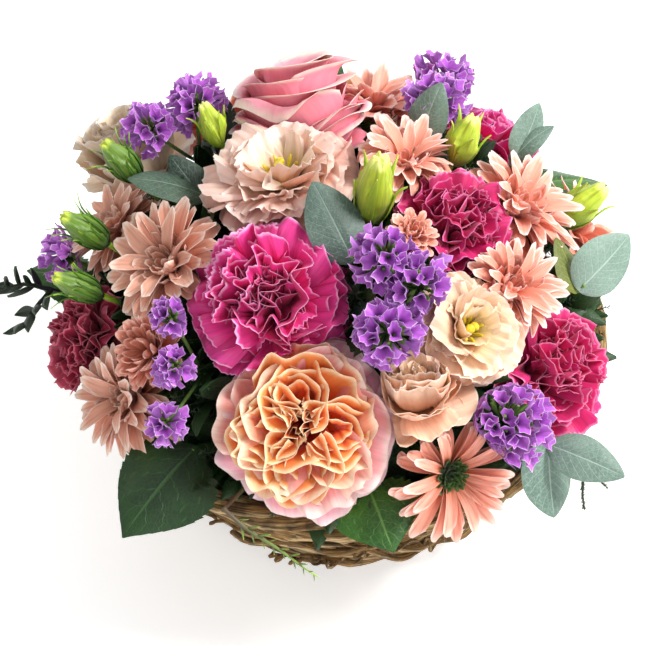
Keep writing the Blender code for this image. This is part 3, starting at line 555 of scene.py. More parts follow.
class Grower(Graph):
    """A geometry tree with named inputs that is run once and leaves a plain mesh."""

    def __init__(self, name: str, inputs: dict[str, str]) -> None:
        """Makes the tree.

        Args:
            name: The tree's name.
            inputs: Name and socket type of each input beside the geometry and the finish.
        """
        super().__init__(bpy.data.node_groups.new(name, "GeometryNodeTree"))
        whole = {"Geometry": "NodeSocketGeometry", **inputs, "Finish": "NodeSocketMaterial"}
        new, self.keys = self.tree.interface.new_socket, {}
        for label, kind in whole.items():
            self.keys[label] = new(label, in_out="INPUT", socket_type=kind).identifier
        new("Geometry", in_out="OUTPUT", socket_type="NodeSocketGeometry")
        self.start = self.tree.nodes.new("NodeGroupInput")

    def __getitem__(self, label: str) -> Value:
        """The value of a named input."""
        return Value(self, self.start.outputs[label])

    def chance(self, low: Any, high: Any, channel: int) -> Value:
        """A random number for each element, from the Seed input and its own channel."""
        values = {"Min_001": low, "Max_001": high, "Seed": self["Seed"] + channel}
        return self.node("FunctionNodeRandomValue", {"data_type": "FLOAT"}, values)

    def named(self, name: str, kind: str = "FLOAT") -> Value:
        """A named attribute of the geometry."""
        return self.node("GeometryNodeInputNamedAttribute", {"data_type": kind}, {"Name": name})

    def store(
        self, geometry: Value, name: str, value: Value, domain: str = "INSTANCE", kind: str = "FLOAT"
    ) -> Value:
        """Stores a value as a named attribute.

        Args:
            geometry: The geometry that takes it.
            name: The attribute's name.
            value: The value.
            domain: What it is stored on.
            kind: Its type.

        Returns:
            The geometry.
        """
        settings = {"data_type": kind, "domain": domain}
        values = {"Geometry": geometry, "Name": name, "Value": value}
        return self.node("GeometryNodeStoreNamedAttribute", settings, values)

    def copies(self, points: Value, turn: Value, size: Value) -> Value:
        """Copies of the Piece input.

        Args:
            points: Where they stand.
            turn: How each one is turned.
            size: How large each one is.

        Returns:
            The copies.
        """
        copy = self.node("GeometryNodeObjectInfo", {}, {"Object": self["Piece"]}, "Geometry")
        values = {"Points": points, "Instance": copy, "Rotation": turn, "Scale": size}
        return self.node("GeometryNodeInstanceOnPoints", {}, values)

    def close(self, geometry: Value) -> "Grower":
        """Ends the tree with real geometry in its finish.

        Args:
            geometry: What the tree has made.

        Returns:
            The tree itself.
        """
        real = self.node("GeometryNodeRealizeInstances", {}, {"Geometry": geometry})
        values = {"Geometry": real, "Material": self["Finish"]}
        dressed = self.node("GeometryNodeSetMaterial", {}, values)
        self.tree.links.new(dressed.socket, self.tree.nodes.new("NodeGroupOutput").inputs[0])
        return self

    def grow(
        self, name: str, finish: "Finish", source: bpy.types.Mesh | None = None, copied: Tissue | None = None,
        **values: Any,
    ) -> bpy.types.Mesh:
        """Runs the tree once.

        Args:
            name: Name of the mesh that comes out.
            finish: What it is finished in.
            source: The geometry that goes in, if the tree reads any.
            copied: What the Piece input copies, if the tree has one.
            values: The other inputs, with _ for a space in their names.

        Returns:
            The grown mesh.
        """
        helpers = [linked(name, source or bpy.data.meshes.new(name))]
        if copied:
            helpers.append(linked("copied", copied.mesh("copied")))
            values["Piece"] = helpers[-1]
        grown = helpers[0].modifiers.new("grow", "NODES")
        grown.node_group = self.tree
        for label, value in {**values, "Finish": finish.material()}.items():
            grown[self.keys[label.replace("_", " ")]] = value
        bpy.context.view_layer.update()
        graph = bpy.context.evaluated_depsgraph_get()
        mesh = bpy.data.meshes.new_from_object(helpers[0].evaluated_get(graph))
        helpers[0].modifiers.clear()
        for helper in helpers:
            bpy.data.objects.remove(helper)
        mesh.name = name
        return mesh


@cache
def spiral_grower() -> Grower:
    """Sets copies of one piece on a ball in a sunflower spiral, as florets sit on a flower head.

    Low and High are the sines of the outermost and innermost lean, Bias crowds the outer ones, Seat is
    the radius that they stand on, and Loose is how far they leave it. Every piece points along its +X.

    Returns:
        The tree.
    """
    kinds = {"Piece": "NodeSocketObject", "Count": "NodeSocketInt", "Seed": "NodeSocketInt"}
    floats = ("Low", "High", "Bias", "Seat", "Loose", "Outer Size", "Inner Size", "Spread", "Roll", "Age")
    g = Grower("spiral", {**kinds, **dict.fromkeys(floats, "NodeSocketFloat")})
    index = g.node("GeometryNodeInputIndex", {}, {})
    share = (index + 0.5) / g["Count"]
    rise = g["Low"] + (g["High"] - g["Low"]) * share ** g["Bias"]
    flat = (1 - rise * rise) ** 0.5
    around = index * GOLDEN_ANGLE + g.chance(-0.22, 0.22, 1)
    reach = g["Seat"] * (1 + g["Loose"] * g.chance(-1.0, 1.0, 6))
    seat = g.longer(g.vector(flat * around.cos(), flat * around.sin(), rise), reach)
    points = g.node("GeometryNodePoints", {}, {"Count": g["Count"], "Position": seat})
    lean = rise.arcsin() + g.chance(-1.0, 1.0, 2) * g["Spread"]
    euler = g.vector(g.chance(-1.0, 1.0, 3) * g["Roll"], lean * -1, around)
    turn = g.node("FunctionNodeEulerToRotation", {}, {"Euler": euler})
    size = g["Outer Size"] + (g["Inner Size"] - g["Outer Size"]) * share
    size = size * g.chance(0.9, 1.1, 4)
    placed = g.copies(points, turn, g.vector(size, size, size))
    placed = g.store(placed, "tint", g.chance(0.0, 1.0, 5))
    return g.close(g.store(placed, "age", share * g["Age"]))


@cache
def scatter_grower() -> Grower:
    """Sets one copy of a piece on every point of a mesh, along the point's own way and at its size.

    Returns:
        The tree.
    """
    g = Grower("scatter", {"Piece": "NodeSocketObject", "Seed": "NodeSocketInt", "Roll": "NodeSocketFloat"})
    way, size = g.named("way", "FLOAT_VECTOR"), g.named("size")
    ahead = g.node("FunctionNodeAlignRotationToVector", {"axis": "X"}, {"Vector": way})
    roll = g.vector(g.chance(-1.0, 1.0, 1) * g["Roll"], 0.0, 0.0)
    roll = g.node("FunctionNodeEulerToRotation", {}, {"Euler": roll})
    turns = {"Rotation": ahead, "Rotate By": roll}
    turn = g.node("FunctionNodeRotateRotation", {"rotation_space": "LOCAL"}, turns)
    placed = g.copies(g["Geometry"], turn, size)
    return g.close(g.store(placed, "tint", g.chance(0.0, 1.0, 2)))


@cache
def vine_grower() -> Grower:
    """Turns lines of points into closed round vines, whose bark runs along them.

    Each point's thick is its radius, and Gnarl is the share of it that knots and grooves take. The mesh
    keeps girth, the place round the vine, and along, the length from its start, for the bark to follow.

    Returns:
        The tree.
    """
    g = Grower("vine", {"Sides": "NodeSocketInt", "Gnarl": "NodeSocketFloat"})
    vines = g.node("GeometryNodeMeshToCurve", {}, {"Mesh": g["Geometry"]})
    vines = g.store(vines, "along", g.node("GeometryNodeSplineParameter", {}, {}, "Length"), "POINT")
    circle = g.node("GeometryNodeCurvePrimitiveCircle", {}, {"Resolution": g["Sides"], "Radius": 1.0})
    place = g.node("GeometryNodeInputPosition", {}, {})
    circle = g.store(circle, "girth", place, "POINT", "FLOAT_VECTOR")
    thick = g.named("thick")
    values = {"Curve": vines, "Profile Curve": circle, "Scale": thick, "Fill Caps": True}
    tube = g.node("GeometryNodeCurveToMesh", {}, values)
    x, y, _ = g.split(g.named("girth", "FLOAT_VECTOR"))
    knots = g.noise(place, 130.0, 2.0)
    grooves = g.noise(g.vector(x * 1.5, y * 1.5, g.named("along") * 24), 1.3, 1.0)
    out = g.longer(g.node("GeometryNodeInputNormal", {}, {}), (knots + grooves - 1.0) * thick * g["Gnarl"])
    return g.close(g.node("GeometryNodeSetPosition", {}, {"Geometry": tube, "Offset": out}))


# ---- finishes ----
class Skin(Graph):
    """The shader tree of a finish, and what it can read from its piece."""

    def mark(self, name: str, out: str = "Fac") -> Value:
        """An attribute of the piece."""
        return self.node("ShaderNodeAttribute", {"attribute_name": name}, {}, out)

    def own_uv(self) -> tuple[Value, ...]:
        """Shares across and along the point's own sheet."""
        return self.split(self.node("ShaderNodeUVMap", {"uv_map": "petal"}, {}))[:2]

    def own_place(self) -> Value:
        """Where a point is, in the piece's own metres."""
        return self.node("ShaderNodeTexCoord", {}, {}, "Object")

    def mix(self, factor: Any, low: Any, high: Any) -> Value:
        """One colour turning into another as the factor goes from 0 to 1."""
        ends = {"Factor_Float": factor, "A_Color": low, "B_Color": high}
        return self.node("ShaderNodeMix", {"data_type": "RGBA"}, ends, "Result_Color")

    def shaded(self, colour: Any, factor: Value) -> Value:
        """A colour multiplied by a grey value."""
        values = {0: colour if isinstance(colour, Value) else colour[:3], 1: self.vector(*[factor] * 3)}
        return self.node("ShaderNodeVectorMath", {"operation": "MULTIPLY"}, values)

    def bump(self, height: Value, depth: float, strength: float = 0.6) -> Value:
        """A normal that follows a height; depth is in millimetres."""
        values = {"Height": height, "Distance": depth * MM, "Strength": strength}
        return self.node("ShaderNodeBump", {}, values)


def paint(code: str) -> tuple[float, float, float, float]:
    """A colour for a shader from its six-digit display code."""
    parts = (int(code[i : i + 2], 16) / 255 for i in (0, 2, 4))
    return (*(p / 12.92 if p <= 0.04045 else ((p + 0.055) / 1.055) ** 2.4 for p in parts), 1.0)


def lucent(weight: float, radius: tuple[float, float, float], depth: float) -> dict[str, Any]:
    """The sockets of a skin that light enters; depth is in millimetres."""
    return {"Subsurface Weight": weight, "Subsurface Radius": radius, "Subsurface Scale": depth * MM}


@dataclass(frozen=True)
class Finish:
    """What a surface is made of; its material is made once and shared.

    The colours are display codes, in the order that each finish names.
    """

    name: str
    colours: str

    def paints(self) -> tuple[tuple[float, ...], ...]:
        """The finish's colours for a shader."""
        return tuple(paint(code) for code in self.colours.split())

    def material(self) -> bpy.types.Material:
        """Makes the material, or finds the one that is there.

        Returns:
            The finish's material.
        """
        found = bpy.data.materials.get(self.name)
        if found:
            return found
        made = bpy.data.materials.new(self.name)
        made.use_nodes = True
        skin = Skin(made.node_tree)
        shader = made.node_tree.nodes["Principled BSDF"]
        for name, value in self.sockets(skin).items():
            skin.give(shader.inputs[name], value)
        return made

    def sockets(self, g: Skin) -> dict[str, Any]:
        """What each socket of the shader takes, by its name."""
        raise NotImplementedError


@dataclass(frozen=True)
class PetalFinish(Finish):
    """Soft petal skin in the colours of its foot, body, edge, heart, back and deep heart.

    It has fine veins along it and a paler back. Towards the middle of the head the body turns to the
    heart colour, the foot to the deep one and the edge to the heart's edge, where that is given.
    """

    heart_edge: str = ""
    deep_end: float = 0.95
    edge_width: float = 0.12
    veins: float = 26.0
    vein_depth: float = 0.16
    foot_end: float = 0.5
    soft: float = 0.18
    glow: tuple[float, float, float] = (1.0, 0.4, 0.25)

    def sockets(self, g: Skin) -> dict[str, Any]:
        """Paints the petal.

        Args:
            g: The shader tree.

        Returns:
            What each socket of the shader takes.
        """
        foot, body, edge, heart, back, deep = self.paints()
        (u, v), place = g.own_uv(), g.own_place()
        tint, age, under = (g.mark(name) for name in ("tint", "age", "under"))
        streak = g.noise(g.vector(u * self.veins, v * 1.6 + tint * 31, tint * 57), 1.0, 3.0)
        patch = g.noise(place, 90.0, 2.0)
        side = abs(u * 2 - 1)
        margin = v.larger(side ** 1.5 * (v * 0.5 + 0.5)) + (patch - 0.5) * 0.08
        # The foot and deep colours fill the petals' feet and the head's middle: painted shade in some
        # finishes, the petals' own base colour in others, as each finish's comment says.
        outer = g.mix(v.step(0.0, self.foot_end), foot, body)
        inner = g.mix(v.step(0.1, self.deep_end), deep, heart)
        colour = g.mix(under * (0.75 - age * 0.5), g.mix(age, outer, inner), back)
        border = g.mix(age, edge, paint(self.heart_edge) if self.heart_edge else edge)
        colour = g.mix(margin.step(1 - self.edge_width, 1.0), colour, border)
        grey = 1 - self.vein_depth + streak.step(0.3, 0.7) * (2 * self.vein_depth)
        return {
            "Base Color": g.shaded(colour, grey * (0.9 + tint * 0.2) * (0.94 + patch * 0.12)),
            "Roughness": 0.5 + (patch - 0.5) * 0.2,
            "Normal": g.bump(streak + patch * 0.4, 0.25),
            "Sheen Weight": 0.12,
            **lucent(self.soft, self.glow, 2.5),
        }


@dataclass(frozen=True)
class LeafFinish(Finish):
    """A leaf in the colours of its body, light parts, veins and back.

    It has a midrib, side veins, mottling and a waxy bloom.
    """

    ribs: float = 7.0
    bloom: float = 0.3
    rough: float = 0.5

    def sockets(self, g: Skin) -> dict[str, Any]:
        """Paints the leaf.

        Args:
            g: The shader tree.

        Returns:
            What each socket of the shader takes.
        """
        body, light, vein, back = self.paints()
        (u, v), place = g.own_uv(), g.own_place()
        tint, under = g.mark("tint"), g.mark("under")
        side = abs(u * 2 - 1)
        fine = g.noise(place, 900.0, 3.0, 0.65)
        wander, broad = g.noise(place, 160.0, 2.0), g.noise(place, 45.0, 2.0)
        rib = 1 - (side - 0.012).step(0.0, 0.035)
        comb = abs(((v - side * 0.315 + (wander - 0.5) * 0.05) * (self.ribs * math.pi)).sin())
        branch = (1 - comb.step(0.04, 0.16)) * (1 - side.step(0.8, 1.0))
        edges, cells = {"feature": "DISTANCE_TO_EDGE"}, {"Vector": place, "Scale": 420.0}
        net = 1 - g.node("ShaderNodeTexVoronoi", edges, cells, "Distance").step(0.0, 0.12)
        colour = g.mix((broad * 1.3 + tint * 0.5 - 0.45).step(0.1, 0.9), body, light)
        colour = g.mix(under * 0.85, colour, back)
        colour = g.mix(fine.step(0.5, 0.72) * self.bloom, colour, back)
        lines = (rib + branch * 0.55 + net * 0.22).smaller(1.0)
        return {
            "Base Color": g.shaded(g.mix(lines * 0.75, colour, vein), 0.85 + fine * 0.3),
            "Roughness": self.rough + (fine - 0.5) * 0.25,
            "Normal": g.bump(lines * -1 + wander * 0.8, 0.35),
            **lucent(0.06, (0.5, 1.0, 0.3), 1.5),
        }


@dataclass(frozen=True)
class StemFinish(Finish):
    """Stem or sepal skin in the colours of its foot, middle and tip, with streaks along it."""

    def sockets(self, g: Skin) -> dict[str, Any]:
        """Paints the stem.

        Args:
            g: The shader tree.

        Returns:
            What each socket of the shader takes.
        """
        low, high, tip = self.paints()
        (u, v), tint = g.own_uv(), g.mark("tint")
        streak = g.noise(g.vector(u * 14, v * 3 + tint * 17, tint * 41), 1.0)
        grain = g.noise(g.own_place(), 700.0, 3.0)
        colour = g.mix((v + (streak - 0.5) * 0.5).step(0.05, 0.75), low, high)
        colour = g.mix(v.step(0.8, 1.0), colour, tip)
        return {
            "Base Color": g.shaded(colour, 0.72 + streak * 0.35 + grain * 0.2),
            "Roughness": 0.45 + (grain - 0.5) * 0.2,
            "Normal": g.bump(streak + grain * 0.4, 0.3),
            **lucent(0.12, (0.6, 1.0, 0.2), 2.0),
        }


@dataclass(frozen=True)
class BarkFinish(Finish):
    """Dry vine bark, dark, middling and pale: long fibres, peeled strips, dark creases and knots.

    The dark in the creases is partly painted shade and the pale on the strips partly a painted
    highlight; broad patches of painted shade darken the hollows of the weave.
    """

    def sockets(self, g: Skin) -> dict[str, Any]:
        """Paints the bark.

        Args:
            g: The shader tree.

        Returns:
            What each socket of the shader takes.
        """
        dark, body, pale = self.paints()
        x, y, _ = g.split(g.mark("girth", "Vector"))
        along, place = g.mark("along"), g.own_place()
        shift = g.noise(place, 9.0, 1.0)
        fibre = g.noise(g.vector(x * 3.2 + shift * 5, y * 3.2, along * 34), 1.6, 5.0, 0.65)
        strip = g.noise(g.vector(x * 0.9 + shift * 9, y * 0.9 + shift * 4, along * 11), 1.2, 2.0)
        grit, hollow_shade = g.noise(place, 1500.0, 3.0, 0.7), g.noise(place, 130.0, 2.0)
        knot = g.noise(g.vector(x, y, along * 55), 1.0, 1.0)
        # Painted shade: the dark colour along the fibres is partly shade in the creases, partly the bark's
        # own dark.
        colour = g.mix(fibre.step(0.3, 0.72), dark, body)
        # Painted highlight: the pale peeled strips are partly a highlight, partly the paler bark under the
        # peel.
        colour = g.mix(strip.step(0.5, 0.66) * (0.35 + fibre * 0.65), colour, pale)
        colour = g.mix(knot.step(0.62, 0.8) * 0.7, colour, dark)
        # Painted shade: broad random patches darken as shade in the weave's hollows; the grit is the bark's
        # own grain.
        shade_and_grit = (0.45 + hollow_shade.step(0.32, 0.55) * 0.6) * (0.75 + grit * 0.6)
        return {
            "Base Color": g.shaded(colour, shade_and_grit),
            "Roughness": 0.8 + (grit - 0.5) * 0.25,
            "Normal": g.bump(fibre + grit * 0.35 - knot.step(0.6, 0.85) * 0.6, 1.8, 1.0),
        }


@dataclass(frozen=True)
class FoamFinish(Finish):
    """Wet flower foam, dark and light: tiny open cells, darker in their middles as painted shade."""

    def sockets(self, g: Skin) -> dict[str, Any]:
        """Paints the foam.

        Args:
            g: The shader tree.

        Returns:
            What each socket of the shader takes.
        """
        place = g.own_place()
        cells = g.node("ShaderNodeTexVoronoi", {}, {"Vector": place, "Scale": 650.0}, "Distance")
        broad = g.noise(place, 30.0, 3.0)
        return {
            # Painted shade: the darker green fills the middle of each open cell, with broad random patches.
            "Base Color": g.mix((cells * 0.8 + broad * 0.5).step(0.2, 0.9), *self.paints()),
            "Roughness": 0.85 + cells * 0.1,
            "Normal": g.bump(cells, 0.8),
        }


@dataclass(frozen=True)
class FilmFinish(Finish):
    """Thin dark film and its scuffs, creased and a little shiny."""

    def sockets(self, g: Skin) -> dict[str, Any]:
        """Paints the film.

        Args:
            g: The shader tree.

        Returns:
            What each socket of the shader takes.
        """
        crease, scuff = g.noise(g.own_place(), 60.0, 4.0, 0.6), g.noise(g.own_place(), 500.0, 2.0)
        colour = g.mix(scuff.step(0.55, 0.8) * 0.5, *self.paints())
        return {"Base Color": colour, "Roughness": 0.25 + crease * 0.4, "Normal": g.bump(crease, 2.0)}


@dataclass(frozen=True)
class FloorFinish(Finish):
    """Plain pale ground that glows a little, so that shadows on it stay light."""

    GLOW: ClassVar[float] = 0.5

    def sockets(self, g: Skin) -> dict[str, Any]:
        """Paints the floor.

        Args:
            g: The shader tree.

        Returns:
            What each socket of the shader takes.
        """
        (body,) = self.paints()
        cloud = g.noise(g.own_place(), 3.0, 2.0)
        pale = g.shaded(body, 0.985 + cloud * 0.03)
        return {"Base Color": pale, "Roughness": 0.7, "Emission Color": body, "Emission Strength": self.GLOW}


# Partly painted shade: the deep colour, a dark orange at the feet of the heart's petals, is partly the rose's
# own orange, partly shade in its heart.
APRICOT = PetalFinish(
    "apricot_petal", "ee7848 e8a0b2 f4ccd0 ffa458 ee9484 e4480c", heart_edge="ffe0b4", deep_end=1.25,
    edge_width=0.16, soft=0.22, vein_depth=0.07, foot_end=0.75, glow=(1.0, 0.5, 0.35),
)
# Painted shade: the foot and deep colours, a deep crimson at the petals' feet, stand for shade inside the
# rose's cup.
PINK = PetalFinish(
    "pink_petal", "c84468 f496a8 f8e2d4 f4a0ae f090a2 c44064", edge_width=0.1, vein_depth=0.07, soft=0.16
)
# Painted shade: in the magenta, crimson and cerise carnation finishes the dark foot and deep colours, and the
# darker heart colour, stand for shade deep in the ball of petals.
MAGENTA = PetalFinish(
    "magenta_petal", "a00e58 ea3e94 f8aad6 dc2478 d82c82 840848", edge_width=0.045, vein_depth=0.14,
    glow=(1.0, 0.1, 0.3),
)
CRIMSON = PetalFinish(
    "crimson_petal", "8c0c40 cc1c68 f080b4 b8145a ac1452 700830", edge_width=0.045, soft=0.14,
    glow=(1.0, 0.08, 0.25),
)
CERISE = PetalFinish(
    "cerise_petal", "9c1450 d42470 f08cb4 c81c62 b82068 800c3c", edge_width=0.04, vein_depth=0.14, soft=0.16,
    glow=(1.0, 0.1, 0.25),
)
# Partly painted shade: a darker crimson for the low carnation on the shaded left, partly its own burgundy;
# its dark foot and deep colours are painted shade deep in the head.
BURGUNDY = PetalFinish(
    "burgundy_petal", "50081e a82848 d4687e 8c183a 982444 3c0618", edge_width=0.06, soft=0.1,
    glow=(1.0, 0.1, 0.2),
)
BLUSH = PetalFinish(
    "blush_petal", "e8b878 fac8b8 fae0d0 fcdece f0b29e c8a848", edge_width=0.06, vein_depth=0.09,
    foot_end=0.4, soft=0.24, glow=(1.0, 0.5, 0.3),
)
SORBET = replace(BLUSH, name="sorbet_petal", colours="e4ac50 f8c8ac fce0c8 fadcbc f0b498 c8a848")
CREAM = PetalFinish(
    "cream_petal", "caa878 ecd6c0 f4e6d8 e8d0b0 e2c8ae a88850", edge_width=0.06, vein_depth=0.08, soft=0.2
)
PEACH = PetalFinish(
    "peach_petal", "dc7038 ee9e88 f8d0c6 f0a068 eca494 cc5c20", edge_width=0.16, veins=8.0, vein_depth=0.13,
    foot_end=0.6, soft=0.2,
)
STRIPED = replace(
    PEACH, name="striped_petal", colours="dc7038 f0a08a f8ccbe f0a068 e89884 cc5c20", veins=6.0,
    vein_depth=0.2,
)
# Partly painted shade: this darker, browner copy of the peach finish is for the chrysanthemums on the shaded
# left, and partly their own tan.
SHADED_TAN = replace(PEACH, name="shaded_tan_petal", colours="a85c2c e0a28a f2d2c2 cc8844 d0947e 783810", soft=0.16)
BRONZE = PetalFinish(
    "bronze_petal", "b04c20 e09078 f2bcac b4602c e09c88 5c1c08", edge_width=0.2, veins=6.0, foot_end=0.6,
    soft=0.14,
)
# Painted shade: the dark foot and deep colours stand for shade deep in each tuft of florets.
VIOLET = PetalFinish(
    "violet_floret", "401458 b05cc2 dcb6e8 b464c8 bc7cd0 541c78", edge_width=0.06, veins=12.0, vein_depth=0.2,
    foot_end=0.7, soft=0.08, glow=(0.9, 0.4, 0.9),
)
LIME = PetalFinish(
    "lime_bud", "5c8414 b4c834 e4ec80 c0d040 a0b42c 5c8414", edge_width=0.1, veins=14.0, vein_depth=0.24,
    foot_end=0.6, soft=0.16, glow=(0.7, 1.0, 0.2),
)
# Partly painted shade: a darker copy of the lime finish for the tufted buds on the shaded left, partly their
# own deeper green.
GREEN_BUD = replace(LIME, name="green_bud", colours="1c400c 64881c bccc48 74942a 5c7c1c 5c8414")
HEART = PetalFinish(
    "flower_heart", "8a9420 cdbc20 e4cc30 c8b820 c0b020 8a9420", edge_width=0.2, veins=6.0, vein_depth=0.2,
    soft=0.1,
)
DARK_EYE = PetalFinish(
    "daisy_eye", "10220c 20381a 52702c 2c4820 20381a 10220c", edge_width=0.25, veins=6.0, vein_depth=0.2,
    soft=0.0,
)
EUCALYPTUS = LeafFinish("eucalyptus_leaf", "364a42 5a7064 849a8c 86998e", ribs=8.0, bloom=0.4)
# Painted shade: a darker copy of the eucalyptus finish for the leaves on the shaded left.
SHADED_EUCALYPTUS = replace(EUCALYPTUS, name="shaded_eucalyptus_leaf", colours="22342a 48604c 74887a 687c6c")
# Partly painted light: a paler copy of the eucalyptus finish for the leaves on the lit right and top, partly
# their own paler sage green.
LIT_SAGE_LEAF = replace(EUCALYPTUS, name="lit_sage_leaf", colours="5a7466 7d9687 aec2b6 96ac9e")
OLIVE_LEAF = LeafFinish("olive_leaf", "55601c 7a8430 9aa050 8c9848", ribs=6.0, bloom=0.1)
ROSE_LEAF = LeafFinish("rose_leaf", "143a18 3a6e20 6c9c44 4c7838", bloom=0.05, rough=0.4)
SHADE_LEAF = LeafFinish("shade_leaf", "0a200e 1c3c16 345a28 284820", ribs=6.0, bloom=0.04)
FERN = StemFinish("fern_needle", "5a4a34 6f8f34 a8cc54")
# Painted shade: near-black greens for the filler plumes and the low fronds in the shaded gaps under the
# flowers; the shade leaf above does the same for the filler leaves.
DARK_FERN = StemFinish("dark_fern", "0c1a0e 1c3018 304824")
LIME_STEM = StemFinish("lime_stem", "6c9020 a8c43c c8dc60")
MOSS_STEM = StemFinish("moss_stem", "142c0a 44701a 98bc38")
GREEN_STEM = StemFinish("green_stem", "2c4418 5c7c30 6c8c3c")
# Partly painted light: the dark is partly shade in the creases and the pale partly a highlight on the peeled
# strips.
BARK = BarkFinish("vine_bark", "4a3018 c0924e efd29c")
FOAM = FoamFinish("wet_foam", "0e2012 2c4c2c")
FILM = FilmFinish("liner_film", "0c100c 2c302c")
FLOOR = FloorFinish("pale_floor", "f6f6f6")


# ---- petals and heads ----
@dataclass(frozen=True)
class Cut:
    """How a petal is cut and waved, in shares of its own length, with counts where the name says so."""

    width: float = 0.9
    claw: float = 0.25
    belly: float = 0.75
    corner: float = 0.14
    notch: float = 0.0
    wave: float = 0.05
    waves: float = 2.0
    pleat: float = 0.0
    pleats: float = 7.0
    fringe: float = 0.0
    teeth: int = 0
    crimp: float = 0.0
    trough: float = 0.0
    lip: float = 0.0
    wrap: float = 0.8
    wild: float = 1.0
    rows: int = 10
    cols: int = 13
    thick: float = 0.4


@dataclass(frozen=True)
class Whorl:
    """One ring of petals: how many, the lean and reach of their tips, and how they leave and arrive.

    Lean, leave and arrive are degrees above the plane across the head; foot is the share of the
    head's radius where they start, and width is a share of what the cut says.
    """

    petals: int
    lean: float
    reach: float
    leave: float
    arrive: float
    width: float = 1.0
    foot: float = 0.08


def bezier(ends: tuple[Array, Array, Array, Array], t: Array) -> tuple[Array, Array, Array, Array]:
    """A cubic curve in a plane.

    Args:
        ends: Its four control points.
        t: Shares along it.

    Returns:
        How far out and up it is at the shares, and how fast it goes out and up there.
    """
    a, b, c, d = ends
    weights = ((1 - t) ** 3, 3 * t * (1 - t) ** 2, 3 * t * t * (1 - t), t**3)
    slopes = (3 * (1 - t) ** 2, 6 * t * (1 - t), 3 * t * t)
    out, up = (sum(w * p[k] for w, p in zip(weights, ends)) for k in (0, 1))
    run, rise = (sum(w * s[k] for w, s in zip(slopes, (b - a, c - b, d - c))) for k in (0, 1))
    return out, up, run, rise


def petal(cut: Cut, whorl: Whorl, around: float, radius: float, dice: random.Random) -> Array:
    """The middle surface of one petal of a whorl.

    Args:
        cut: The petal's cut.
        whorl: The whorl that it stands in.
        around: Its azimuth in the head, in radians.
        radius: The head's radius in metres.
        dice: The head's own random draws.

    Returns:
        Rows along and columns across, round the head's axis +Z.
    """
    across, share = weave(1, -1, cut.cols, cut.rows)
    lean = math.radians(whorl.lean + dice.uniform(-4, 4) * cut.wild)
    reach = radius * whorl.reach * (1 + dice.uniform(-0.07, 0.04) * cut.wild)
    leave, arrive = (math.radians(a + dice.uniform(-8, 8) * cut.wild) for a in (whorl.leave, whorl.arrive))
    phase, second = dice.uniform(0, math.tau), dice.uniform(0, math.tau)
    swing, tilt, broad = (dice.uniform(-0.06, 0.06) * cut.wild for _ in range(3))
    length = 1 - cut.corner * np.abs(across) ** 2.6 - cut.notch * np.exp(-((across / 0.3) ** 2))
    if cut.teeth:
        saw = np.abs((across * cut.teeth / 2 + phase) % 1 * 2 - 1)
        length = length - cut.fringe * (saw + 0.3 * np.sin(across * 9 + second))
    t = share * length
    start = np.array((radius * whorl.foot, 0.0))
    end = reach * np.array((math.cos(lean), math.sin(lean)))
    span = float(np.linalg.norm(end - start))
    first = start + 0.4 * span * np.array((math.cos(leave), math.sin(leave)))
    last = end - 0.4 * span * np.array((math.cos(arrive), math.sin(arrive)))
    out, up, run, rise = bezier((start, first, last, end), t)
    steep = np.maximum(np.hypot(run, rise), 1e-9)
    swell = np.sin(np.minimum(t / cut.belly, 1) * math.pi / 2) ** 0.9
    half = cut.width * whorl.width * (1 + 2 * broad) * span / 2 * (cut.claw + (1 - cut.claw) * swell)
    aside = across * half + swing * span * t**2
    ripple = np.sin(math.pi * cut.waves * across + phase) + 0.5 * np.sin(5.1 * cut.waves * across + second)
    pleats = np.sin(math.pi * cut.pleats * across + second)
    proud = cut.wave * ripple * t**1.5 * (0.35 + 0.65 * np.abs(across))
    proud = proud + pleats * (cut.pleat * t * (1.2 - t) + cut.crimp * t**5)
    proud = proud + cut.trough * across**2 * np.sin(math.pi * np.minimum(t * 1.1, 1)) ** 0.5
    proud = span * (proud + tilt * across * t) + 0.9 * MM * across * (share > 0)
    roll = np.clip((t - 0.8) / 0.2, 0, 1) ** 2 * cut.lip * span
    out = out + roll - proud * rise / steep
    up = up - roll * 0.5 + proud * run / steep
    bend = aside / np.maximum(out, np.abs(aside) / 2.4 + 1e-6)
    x = out + cut.wrap * (out * np.cos(bend) - out)
    y = aside + cut.wrap * (out * np.sin(bend) - aside)
    return spin(np.stack((x, y, up), axis=-1), around)


@dataclass
class Plant:
    """Something that grows out of the foam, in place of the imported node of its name."""

    node: str

    BALLS: ClassVar[dict[str, list[Ball]]] = {}
    seed = 0

    def __post_init__(self) -> None:
        """Starts its own random draws and enters its balls."""
        self.dice = random.Random(self.seed)
        self.BALLS[self.node] = self.balls()

    def balls(self) -> list[Ball]:
        """The balls that stand for it among its neighbours."""
        return []

    def seat_at(self, base: Array, way: Array, ball: Ball) -> Seat:
        """A seat for a ball of its own among the balls of all others."""
        others = [other for node, group in self.BALLS.items() if node != self.node for other in group]
        return Seat.among(base, way, ball, others)

    def add(self, part: str, made: Tissue | bpy.types.Mesh, finish: Finish, slot: str) -> None:
        """Makes one of its pieces."""
        mesh = made.mesh(self.node) if isinstance(made, Tissue) else made
        piece(f"{self.node}_{part}", mesh, finish, slot, self.node)


@dataclass
class Stemmed(Plant):
    """A plant on one stem, which comes out of the dome at a place."""

    azimuth: float
    polar: float
    lift: float

    @cached_property
    def spot(self) -> Array:
        """Its place on the dome."""
        return dome_point(self.azimuth, self.polar, self.lift)

    @cached_property
    def axis(self) -> Array:
        """The way its stem comes out of the dome."""
        return unit(self.spot - STEM_FOCUS)


